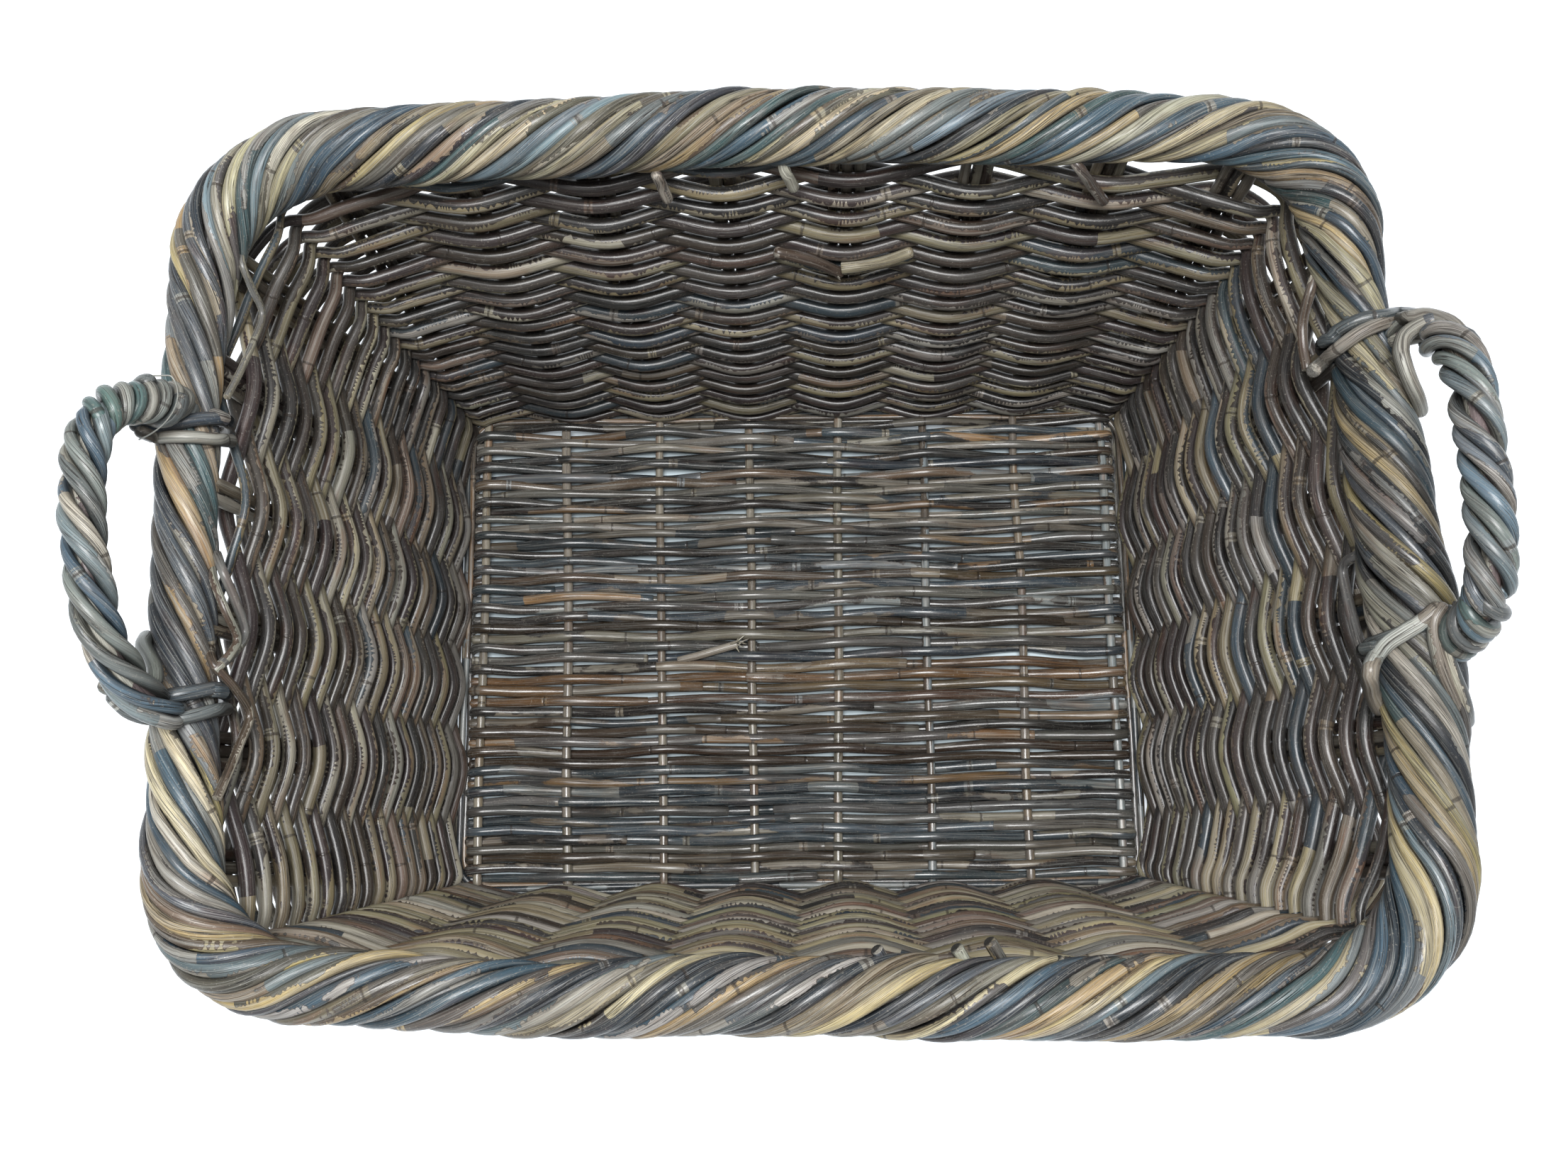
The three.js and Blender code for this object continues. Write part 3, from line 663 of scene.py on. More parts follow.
CHARCOAL, UMBER, PLUM, SLATE = srgb(49, 47, 46), srgb(62, 54, 47), srgb(60, 51, 50), srgb(52, 62, 69)
BLUE, TEAL, MAUVE, STEEL, INK = srgb(88, 106, 118), srgb(86, 106, 104), srgb(104, 92, 92), srgb(118, 126, 128), srgb(66, 76, 84)
CREAM, TAN, OCHRE, STRAW, ROSE, DUN = srgb(172, 168, 154), srgb(150, 139, 116), srgb(156, 134, 98), srgb(160, 153, 128), srgb(148, 134, 124), srgb(126, 119, 106)
GREY, TAUPE, PALE = srgb(130, 131, 128), srgb(138, 134, 125), srgb(184, 182, 174)


def look(rng, skins, peels, amount, grain=0.6, shade=1.0, vary=0.18):
    """A rod's own colours: one of the skins and one of the peels, each a little off."""
    def pick(options):
        names, weights = zip(*options)
        w = np.array(weights, float)
        c = np.array(names[rng.choice(len(names), p=w / w.sum())])
        return c * (1 + vary * rng.normal()) * (1 + 0.022 * rng.normal(size=3))

    lo, hi = amount
    return {
        "skin": np.clip(pick(skins), 0.01, 0.6),
        "peel": np.clip(pick(peels), 0.03, 0.7),
        "wear_and_shade": np.array([rng.uniform(lo, hi), np.clip(grain + 0.2 * rng.normal(), 0, 1), shade]),
        "rnd": rng.random(3),
        "u0": 0.0,
        "node": (rng.uniform(120, 250), rng.uniform(0, 250)),
        "rng": rng,
    }


# ---- base ----------------------------------------------------------------------------------
BASE_SKINS = ((srgb(50, 47, 45), 4), (srgb(84, 70, 56), 3), (srgb(80, 79, 77), 3), (srgb(62, 72, 78), 3.5), (srgb(104, 101, 93), 2))
BROWN_BASE = ((srgb(108, 82, 56), 4), (srgb(116, 98, 74), 3), (srgb(78, 62, 48), 3), (srgb(84, 82, 78), 2))
BLUE_BASE = ((srgb(52, 63, 71), 5), (srgb(68, 79, 85), 4), (srgb(48, 50, 52), 3), (srgb(90, 91, 88), 2))
BASE_PEELS = ((srgb(128, 122, 108), 4), (srgb(112, 100, 84), 3), (srgb(108, 116, 118), 2), (srgb(132, 102, 68), 2))
mat_stick = rattan("rattan_base_sticks", gloss=0.24, matt=0.32, coat=0.35, crevice=0.3, tooth=0.0, soft=0.1)
mat_base = rattan("rattan_base_weavers", gloss=0.27, matt=0.36, streak=0.7, coat=0.4, crevice=0.85, tooth=0.03, ragged=0.6, soft=0.2, lines=0.7, rusty=0.6, crevice_shade_to=0.8)
for k in range(8):
    rng = rs(1, k)
    piece = Piece(f"bottom_stick_{k + 1}")
    ys = np.linspace(-164.5, 164.5, 60)
    x = mix(STICKS_FRONT[k], STICKS_BACK[k], (ys + 160) / 320) + smooth_noise(ys + 164.5, 70, rng, 0.7)
    p = np.stack([x, ys, np.full_like(ys, STICK_Z)], 1)
    piece.rod(p, 3.1 + 0.1 * rng.normal(), look(rng, ((srgb(104, 96, 84), 2), (srgb(124, 118, 106), 3)), BASE_PEELS[:3], (0.4, 0.75), 0.5, 1.1), sides=12)
    piece.build(mat_stick, "base_sticks", f"base_stick_{k + 1}")

# rows lie closer together towards the front and back than in the middle
BASE_ROWS = 49
_w = 6.1 + 1.15 * np.exp(-(((np.arange(BASE_ROWS - 1) - 18) / 11.0) ** 2)) + 0.3 * rs(20).normal(size=BASE_ROWS - 1)
BASE_Y = -161.0 + np.concatenate([[0], np.cumsum(_w)]) * 322.5 / _w.sum()
BASE_BANDS = (("base_weave_front", 0, 13), ("base_weave_mid_front", 13, 25), ("base_weave_mid_back", 25, 37), ("base_weave_back", 37, 49))
ARC_AT = at_z(1445, 922, STICK_Z + 4)
SPLICE = [at_z(u, v, z) for u, v, z in ((958, 931, 13), (984, 925, 15), (1012, 917, 16.5), (1040, 909, 18))]
CUT_ROD = [at_z(u, v, z) for u, v, z in ((1150, 1236, 13.5), (1100, 1238, 16.5), (1068, 1240, 17), (1043, 1241, 17.5))]
for b, (node, j0, j1) in enumerate(BASE_BANDS):
    piece = Piece(f"bottom_weave_{b + 1}")
    if b == 1:
        rng = rs(22)
        p, _, _ = spline(SPLICE, step=3.0)
        piece.rod(p, np.linspace(2.5, 3.3, len(p)), look(rng, ((srgb(120, 116, 104), 1),), ((srgb(164, 158, 140), 1),), (0.7, 0.9), 0.8), sides=10, ends=("tuck", "cut"))
        for n in range(9):
            d = unit(np.array([1.0, 0.1, 0.4]) + 0.6 * rng.normal(size=3))
            start = SPLICE[-1] + np.array([-1.0, 0, 0]) + 1.3 * rng.normal(size=3)
            piece.rod(np.stack([start + d * t for t in (0.0, 2.4, 4.8, 6.5)]), np.array([0.8, 0.6, 0.45, 0.2]), look(rng, ((srgb(150, 146, 130), 1),), ((srgb(186, 180, 160), 1),), (0.7, 0.9), 0.4), ref=(0.3, 0.2, 1), sides=5, ends=("tuck", "tuck"))
    if b == 0:
        p, _, _ = spline(CUT_ROD, step=3.0)
        piece.rod(p, 3.1, look(rs(23), BASE_SKINS, BASE_PEELS, (0.6, 0.8), 0.8), sides=10, ends=("tuck", "cut"))
    if b in (0, 3):
        # thin rods laid round the foot, between the bottom and the first row of the wall: half of them with each outer band
        for n, (inset, z, r) in enumerate(((9.2, 3.5, 2.5), (4.4, 3.4, 2.4), (-0.6, 3.3, 2.3), (7.0, 7.6, 2.1))):
            rng = rs(21, b, n)
            uu = np.linspace(-0.004, 0.504, 240) + (0.5 if b == 0 else 0.0)
            x, y, nx, ny = rounded_rect(242.0 - inset, 174.5 - inset, 25.0 - inset * 0.6, uu)
            run = np.linspace(0, 800, 240)
            w = smooth_noise(run, 60, rng, 0.5)
            line = np.stack([x + nx * w, y + ny * w, z + smooth_noise(run, 70, rng, 0.15)], 1)
            piece.rod(line, r, look(rng, BASE_SKINS, BASE_PEELS, (0.1, 0.5), 0.5, 0.8), sides=8)
    for j in range(j0, j1):
        rng = rs(2, j)
        y = BASE_Y[j] + 0.3 * rng.normal()
        gap = _w[min(j, BASE_ROWS - 2)]
        flip = j % 2
        pts = []
        xs = [mix(STICKS_FRONT[k], STICKS_BACK[k], (y + 160) / 320) for k in range(8)]
        r = 0.495 * gap * (1 + 0.085 * float(np.clip(rng.normal(), -1.6, 1.6)))
        r = min(r, 3.3)
        swing = 2.75 + r
        for k in range(8):
            s = 1 if (k + flip) % 2 else -1
            if k:
                pts.append([(xs[k - 1] + xs[k]) / 2 + rng.normal() * 1.5, y + 0.25 * rng.normal(), STICK_Z + 0.3 * rng.normal()])
            pts.append([xs[k], y + 0.3 * rng.normal(), max(STICK_Z + s * (swing + 0.1 * rng.normal()), r + 0.5)])
        # a rod that comes over the outer stick bends down beside it and is cut there
        reach = 3.35 + r
        if flip == 1:
            pts = [[xs[0] - reach * 0.98, y - 0.3, STICK_Z - 0.8], [xs[0] - reach * 0.74, y - 0.3, STICK_Z + swing * 0.62]] + pts
        else:
            pts = [[xs[0] - 7.0, y, max(STICK_Z - swing, r) + 0.8]] + pts
        if (7 + flip) % 2 == 1:
            pts = pts + [[xs[7] + reach * 0.74, y + 0.3, STICK_Z + swing * 0.62], [xs[7] + reach * 0.98, y + 0.3, STICK_Z - 0.8]]
        else:
            pts = pts + [[xs[7] + 7.0, y, max(STICK_Z - swing, r) + 0.8]]
        # one rod stands up in a low arc and leaves a wider gap in front of it
        if abs(y - ARC_AT[1]) < gap * 0.5:
            for q in pts:
                q[1] += 4.2 * math.exp(-(((q[0] - ARC_AT[0]) / 30.0) ** 2))
        p, e, _ = spline(pts, step=3.6)
        # the rows run a little crooked, and neighbours follow each other
        p[:, 1] += sum(a * np.sin(p[:, 0] / w + f + j * d) for a, w, f, d in ((0.7, 31.0, 0.4, 0.21), (0.5, 17.0, 2.2, -0.16), (0.45, 70.0, 4.0, 0.12))) * np.clip((225.0 - np.abs(p[:, 0])) / 25.0, 0, 1)
        skins = BROWN_BASE if j in (12, 13, 18, 19, 20, 21, 22, 23, 30) else BLUE_BASE if 3 < j < 11 or (j > 28 and j % 3) else BASE_SKINS
        # most rows are laid with one or two rods, whose cut ends show
        cuts = sorted(rng.uniform(0.12, 0.88, int(rng.choice([0, 0, 1, 1, 2]))))
        stops = [0] + [int(c_ * len(p)) for c_ in cuts] + [len(p)]
        thick = r * (1 + smooth_noise(e, 70, rng, 0.05))
        for n_, (i0, i1) in enumerate(zip(stops[:-1], stops[1:])):
            if i1 - i0 < 4:
                continue
            # the next rod starts under the end of the one before
            more = min(i1 + 1, len(p))
            part, fat = p[max(i0 - 1, 0) : more].copy(), thick[max(i0 - 1, 0) : more]
            if n_:
                fade = np.exp(-(((np.arange(len(part))) / 2.0) ** 2))
                part[:, 2] -= 1.3 * fade
                fat = fat * (1 - 0.12 * fade)
            own = float(np.clip(1 + 0.05 * rng.normal(), 0.9, 1.08))
            part[:, 2] = np.maximum(part[:, 2], 1.12 * fat * own)  # none reaches below the floor
            piece.rod(part, fat * own, look(rng, skins if rng.random() < 0.75 else BASE_SKINS, BASE_PEELS, (0.0, 0.55), 0.6, float(rng.uniform(0.45, 1.12))), sides=9, oval=(0.98, 1.1), ends=("tuck" if n_ else "round", "cut" if i1 < len(p) else "round"))
    piece.build(mat_base, "base_weavers", node)

# ---- stakes: groups of rods side by side ------------------------------------------------------
mat_stake = rattan("rattan_stakes", gloss=0.36, matt=0.5)
STAKE_SKINS = ((CHARCOAL, 2), (UMBER, 4), (PLUM, 2), (SLATE, 1))
STAKE_PEELS = ((TAN, 3), (DUN, 3), (CREAM, 1))
for k, (name, at) in enumerate(stakes):
    rng = rs(3, k)
    piece = Piece(f"stakes_{name}")
    many = 3 if rng.random() < 0.6 else 2
    r0 = 3.15 if many == 3 else 3.5
    for i in range(many):
        side = (i - (many - 1) / 2) * (2 * r0 + 0.15)
        lo, hi = at(2.5 + r0), at(318.0)
        zs = np.linspace(2.5 + r0 * 0.4, 318, 70)
        out = []
        wob = smooth_noise(zs, 90, rng, 0.35)
        for z, w in zip(zs, wob):
            x, y, nx, ny = at(z)
            out.append([x - ny * (side + w), y + nx * (side + w), z])
        nx, ny = lo[2], lo[3]
        piece.rod(np.array(out), r0 * (1 + 0.04 * rng.normal()), look(rng, STAKE_SKINS, STAKE_PEELS, (0.3, 0.75), 0.5, 0.95), ref=(nx, ny, 0), sides=10)
    piece.build(mat_stake, "stake_rods", f"stake_{name}")

# ---- wall weave: single rods in and out of the stakes -------------------------------------------
ROWS, WAVE = 36, 7.7
Z_FIRST, Z_LAST = 8.4, 295.0
mat_wall = rattan("rattan_wall", gloss=0.32, matt=0.42, coat=0.15, streak=0.35, crevice=0.5, toward=-2.1, spread=0.9, tooth=0.25, ragged=0.34, out_face=-0.9, crevice_shade_to=0.7, lines=0.3, runs=0.5, jumps=0.9, wander=2.2, twice=True)
WALL_SKINS = ((CHARCOAL, 4), (UMBER, 3), (PLUM, 4), (srgb(58, 70, 78), 1.8), (srgb(72, 67, 63), 2))
WALL_PEELS = ((srgb(152, 143, 114), 4), (srgb(136, 125, 96), 3.5), (srgb(114, 98, 78), 2.5), (srgb(166, 160, 142), 2.2), (srgb(138, 134, 126), 2), (srgb(104, 84, 72), 1.5))


# the rods grow thicker, and so the rows taller, towards the top
_grow = np.cumsum(np.concatenate([[0], mix(7.35, 8.7, np.arange(ROWS - 1) / (ROWS - 2))]))
ROW_Z = Z_FIRST + _grow * (Z_LAST - Z_FIRST) / _grow[-1]
ROW_R = 0.523 * np.gradient(ROW_Z)
# and a last row of thinner rods right under the border, which doesn't go all the way round
ROW_Z, ROW_R = np.append(ROW_Z, 302.4), np.append(ROW_R, 3.1)


def row_z(i):
    return ROW_Z[i]


def wall_row(i, rng):
    """Control points of one row and which of them lie on a stake: (points, index of stake k)."""
    z = row_z(i)
    pts, where = [], []
    n = len(stakes)
    jit = rng.normal(size=(n, 3))
    wave = WAVE + 0.25 * rng.normal()
    for k, (name, at) in enumerate(stakes):
        x, y, nx, ny = at(z)
        w = wave if (k + i) % 2 else -wave
        w += 0.25 * jit[k, 0] * (1 if w > 0 else -1)
        dz = 0.55 * jit[k, 1]
        where.append(len(pts))
        pts.append([x + nx * w, y + ny * w, z + dz])
        x2, y2, mx, my = stakes[(k + 1) % n][1](z)
        if k in CORNERS:
            sx, sy = CORNERS[k]
            a, b, c = wall(z)
            t = z / RIM_Z
            e = (c + 2) * math.sqrt(0.5)
            corner = np.array([sx * (a - c + e) + RIM_SHIFT[0] * t, sy * (b - c + e) + RIM_SHIFT[1] * t, z + 0.3 * jit[k, 2]])
            before = np.array(pts[-1])
            w2 = -wave if w > 0 else wave
            after = np.array([x2 + mx * w2, y2 + my * w2, z])
            for q in (before, after):
                q[2] = corner[2]
            out_ = np.array([sx, sy, 0]) * math.sqrt(0.5)
            pts.append(list(corner + (before - corner) / np.linalg.norm(before - corner) * 10 + out_ * w * 0.42))
            pts.append(list(corner + (before + after - 2 * corner) * 0.012))
            pts.append(list(corner + (after - corner) / np.linalg.norm(after - corner) * 10 + out_ * w2 * 0.42))
        else:
            pts.append([(x + x2) / 2, (y + y2) / 2, z + 0.3 * jit[k, 2]])
    return pts, where


course_of = lambda i: min(int(i * 8 / ROWS), 7)
courses = [Piece(f"weave_course_{c + 1}") for c in range(8)]
for i in range(ROWS + 1):
    rng = rs(4, i)
    pts, where = wall_row(i, rng)
    p, e, marks = spline(pts, closed=True, step=3.9)
    p, e = p[:-1], e[:-1]
    length = marks[-1]
    at_stake = marks[where]
    # the row is laid with several rods, each ending behind a stake
    outside = [k for k in range(28) if (k + i) % 2]
    first = outside[rng.integers(0, 7)]
    breaks, k = [first], first
    while True:
        k += 2 * int(rng.integers(2, 5))
        if k >= first + 27:
            break
        breaks.append(k)
    breaks.append(first + 28)
    high = i / (ROWS - 1)
    for a, b in zip(breaks[:-1], breaks[1:]):
        if i == ROWS and rng.random() < 0.35:
            continue
        s0, s1 = at_stake[a % 28] + length * (a // 28), at_stake[b % 28] + length * (b // 28)
        m_ = max(int((s1 - s0) / 3.9), 3)
        s = np.linspace(s0 + 0.2, s1 - 0.2, m_)
        line = np.stack([np.interp(np.mod(s, length), np.append(e, length), np.append(p[:, d], p[0, d])) for d in range(3)], 1)
        rr = (ROW_R[i] * (1 + 0.035 * rng.normal())) * (1 + smooth_noise(s - s0, 150, rng, 0.03))
        # rods are drawn thinner where they turn a corner
        for k_c in CORNERS:
            s_c = marks[where[k_c] + 2]
            away = np.abs(np.mod(s - s_c + length / 2, length) - length / 2)
            rr = rr * (1 - (0.05 + 0.11 * high) * np.exp(-((away / 15.0) ** 2)))
        # and looser near the border at the two ends
        ends_ = np.where(line[:, 0] < 0, 0.13, 0.08) * np.clip((np.abs(line[:, 0]) - 215.0) / 30.0, 0, 1)
        rr = rr * (1 - ends_ * min(max((high - 0.45) / 0.3, 0), 1)) * (1 - 0.05 * min(max((high - 0.7) / 0.2, 0), 1))
        kind = rng.random()
        amount = (0.18, 0.26) if kind < 0.3 else (0.25, 0.35) if kind < 0.96 else (0.45, 0.6)
        # each row's shade factor darkens it towards the bottom of the wall: painted shade deep inside the basket
        lk = look(rng, WALL_SKINS, WALL_PEELS, amount, 0.55, mix(0.70, 0.96, min(high * 1.4, 1)) * float(np.clip(1 + 0.12 * rng.normal(), 0.75, 1.25)))
        # the front wall is the most worn
        worn_and_shaded = np.tile(lk["wear_and_shade"], (m_, 1))
        worn_and_shaded[:, 0] += 0.28 * np.clip((-150.0 - line[:, 1]) / 15.0, 0, 1) + 0.09 * np.clip((np.abs(line[:, 0]) - 205.0) / 20.0, 0, 1)
        # and the back wall lies in the shade of its rods
        worn_and_shaded[:, 2] *= 1 - 0.18 * np.clip((line[:, 1] - 150.0) / 15.0, 0, 1)
        lk["wear_and_shade"] = worn_and_shaded
        courses[course_of(i)].rod(line, rr, lk, sides=12, ends=("cut", "cut"))
# ---- loose ends on the inside of the walls ---------------------------------------------------------
def inner(points, r, depth=0.0):
    """Points lying on the inner face of the wall under pixels of the frame."""
    return [on_wall(u, v, WAVE + 3.6 + r + depth + (q[0] if q else 0.0)) for u, v, *q in points]


def loose(piece, points, r, key, skins, peels, amount=(0.1, 0.4), ends=("tuck", "cut"), shade=1.0, grain=0.8):
    rng = rs(11, key)
    p, e, _ = spline(points, step=3.0)
    piece.rod(p, r * (1 + smooth_noise(e, 60, rng, 0.03)), look(rng, skins, peels, amount, grain, shade, vary=0.06), ref=np.tile([0.0, 0.0, 1.0], (len(p), 1)), sides=10, ends=ends)


def fray(piece, tip, way, key, skins, peels, many=7, length=6.0):
    """Splinters spreading from a broken end."""
    rng = rs(12, key)
    way = unit(np.asarray(way, float))
    for _ in range(many):
        d = unit(way + 0.55 * rng.normal(size=3))
        base = np.asarray(tip) - way * 2.0 + 1.2 * rng.normal(size=3)
        ln = length * rng.uniform(0.5, 1.2)
        pts = np.stack([base + d * ln * t + np.array([0, 0, 0.6 * t * t * ln * 0.4]) for t in (0, 0.35, 0.7, 1.0)])
        piece.rod(pts, np.array([0.75, 0.6, 0.45, 0.2]), look(rng, skins, peels, (0.8, 1.0), 0.4, 1.0), ref=(0.3, 0.2, 1), sides=5, ends=("tuck", "tuck"))


GREY_SKIN = ((srgb(118, 118, 114), 2), (srgb(96, 96, 94), 2))
BROWN_SKIN = ((srgb(86, 72, 60), 2), (srgb(72, 58, 50), 2))
PALE_PEEL = ((srgb(178, 172, 156), 2), (srgb(150, 146, 134), 1))
top = courses[7]
loose(top, [at_z(338, 352, 322), *inner(((343, 377), (356, 408), (370, 442), (359, 478), (340, 522), (320, 560)), 2.0)], 1.9, 1, GREY_SKIN, ((srgb(146, 142, 128), 1),), (0.05, 0.25))
loose(top, [at_z(306, 782, 322), *inner(((314, 805), (332, 848), (346, 894), (332, 918), (312, 937)), 2.4)], 2.3, 2, GREY_SKIN, PALE_PEEL, (0.05, 0.3))
loose(top, [at_z(298, 800, 322), *inner(((304, 826), (320, 866), (335, 902), (322, 926), (303, 946)), 2.4)], 2.3, 3, BROWN_SKIN, PALE_PEEL, (0.1, 0.4))
loose(top, [at_z(295, 915, 322), *inner(((302, 937), (332, 972), (352, 1008), (338, 1050), (322, 1090), (306, 1126)), 2.4)], 2.4, 4, BROWN_SKIN, PALE_PEEL, (0.1, 0.4))
loose(top, [at_z(1862, 372, 322), *inner(((1848, 413), (1838, 452), (1838, 486), (1844, 521)), 2.8)], 2.8, 5, BROWN_SKIN, PALE_PEEL, (0.2, 0.5))
loose(top, [at_z(1940, 768, 322), *inner(((1915, 783), (1895, 799), (1900, 838), (1910, 880), (1921, 917)), 2.8)], 2.8, 6, GREY_SKIN, PALE_PEEL, (0.1, 0.4))
# cut stubs that come down from under the border
loose(top, [at_z(1104, 222, 318), *inner(((1107, 241), (1113, 252), (1120, 265)), 3.0)], 3.1, 7, GREY_SKIN, PALE_PEEL, (0.4, 0.8))
loose(top, [at_z(926, 246, 318), *inner(((933, 261), (937, 270), (942, 281)), 3.0)], 3.1, 8, GREY_SKIN, PALE_PEEL, (0.4, 0.8))
loose(top, [at_z(1506, 215, 318), *inner(((1521, 235), (1538, 258), (1557, 284)), 3.0)], 3.1, 9, BROWN_SKIN, PALE_PEEL, (0.2, 0.6))
# a torn rod, and the pale one that lies over its end
torn = inner(((1096, 356), (1124, 362), (1154, 371), (1186, 385)), 3.4, -1.0)
mid_course = courses[course_of(int(np.argmin(abs(ROW_Z - torn[2][2]))))]
loose(mid_course, torn, 3.5, 10, BROWN_SKIN, ((TAN, 1), (DUN, 1)), (0.2, 0.5))
fray(mid_course, torn[-1], torn[-1] - torn[-2], 1, BROWN_SKIN, ((CREAM, 1), (TAN, 1)), many=9, length=5.0)
loose(mid_course, inner(((1188, 378), (1216, 375), (1250, 368), (1284, 356)), 3.2, -1.0), 3.3, 11, BROWN_SKIN, ((srgb(158, 148, 122), 1),), (0.8, 0.95), ends=("cut", "tuck"))
for c, piece in enumerate(courses):
    piece.build(mat_wall, "wall_weavers", f"wall_course_{c + 1}")

# ---- rope border: fifteen rods laid round a core -----------------------------------------------------
TURNS = 12
# widths of the five rods of each strand, side by side
STRAND_WIDTHS = ((1.2, 0.9, 1.15, 0.85, 1.1), (1.05, 1.1, 0.85, 1.0, 1.2), (1.15, 0.85, 1.1, 0.95, 1.15))
mat_rim = {
    "tan": rattan("rattan_rim_tan", gloss=0.34, matt=0.42, relief=2.0, coat=0.1, streak=0.65, crevice=0.95, tooth=0.18, ragged=0.5, crevice_shade_to=0.85, lines=0.8, fine=1.7, rusty=0.5),
    "blue": rattan("rattan_rim_slate_blue", gloss=0.27, matt=0.42, relief=1.6, coat=0.3, streak=0.75, crevice=0.95, tooth=0.18, ragged=0.5, crevice_shade_to=0.85, lines=0.7, fine=1.7),
    "cream": rattan("rattan_rim_cream", gloss=0.34, matt=0.42, relief=2.0, coat=0.1, streak=0.65, crevice=0.95, tooth=0.18, ragged=0.5, crevice_shade_to=0.85, lines=0.8, fine=1.7, rusty=0.5),
}
RIM_LOOKS = {
    "tan": (((srgb(98, 84, 68), 3), (srgb(88, 84, 78), 2), (INK, 1)), ((srgb(186, 166, 122), 4), (srgb(168, 144, 102), 3.5), (srgb(196, 182, 132), 3), (srgb(142, 130, 104), 2)), (0.66, 0.97)),
    "blue": (((srgb(62, 84, 98), 4), (srgb(40, 48, 56), 5), (srgb(64, 88, 90), 2.5), (srgb(72, 78, 84), 2), (srgb(110, 128, 136), 1)), ((GREY, 3), (TAUPE, 2), (PALE, 1), (TAN, 1)), (0.0, 0.3)),
    "cream": (((srgb(96, 92, 80), 2), (STEEL, 2), (srgb(90, 86, 84), 2)), ((srgb(190, 180, 146), 4), (srgb(156, 152, 136), 3), (srgb(146, 132, 108), 2), (srgb(208, 204, 188), 1.8), (srgb(190, 172, 116), 3)), (0.55, 0.94)),
}


def rope_widths(g, u):
    """Widths of one strand's rods along the border: where it is thin, two of the five run out under the others."""
    k = np.clip((19.6 - rope_radius(u)) / 3.6, 0, 1)
    k = k * k * (3 - 2 * k)
    w = np.tile(np.array(STRAND_WIDTHS[g]), (len(u), 1))
    w[:, 1] *= 1 - 0.93 * k
    w[:, 3] *= 1 - 0.93 * np.clip(1.6 * k - 0.6, 0, 1)
    return w


def rope_line(u, phase, off, shift=0.0):
    """Points on one rod of the rope border, and their directions from the rope's middle."""
    c = rope_point(u)
    t = unit(rope_point(u + 2e-4) - rope_point(u - 2e-4))
    a = 2 * np.pi * (TURNS * u + phase) + shift
    out = unit(np.stack([t[:, 1], -t[:, 0], np.zeros(len(t))], 1))
    radial = out * np.cos(a)[:, None] + np.array([0, 0, 1.0])[None, :] * np.sin(a)[:, None]
    return c + radial * np.asarray(off)[:, None], radial


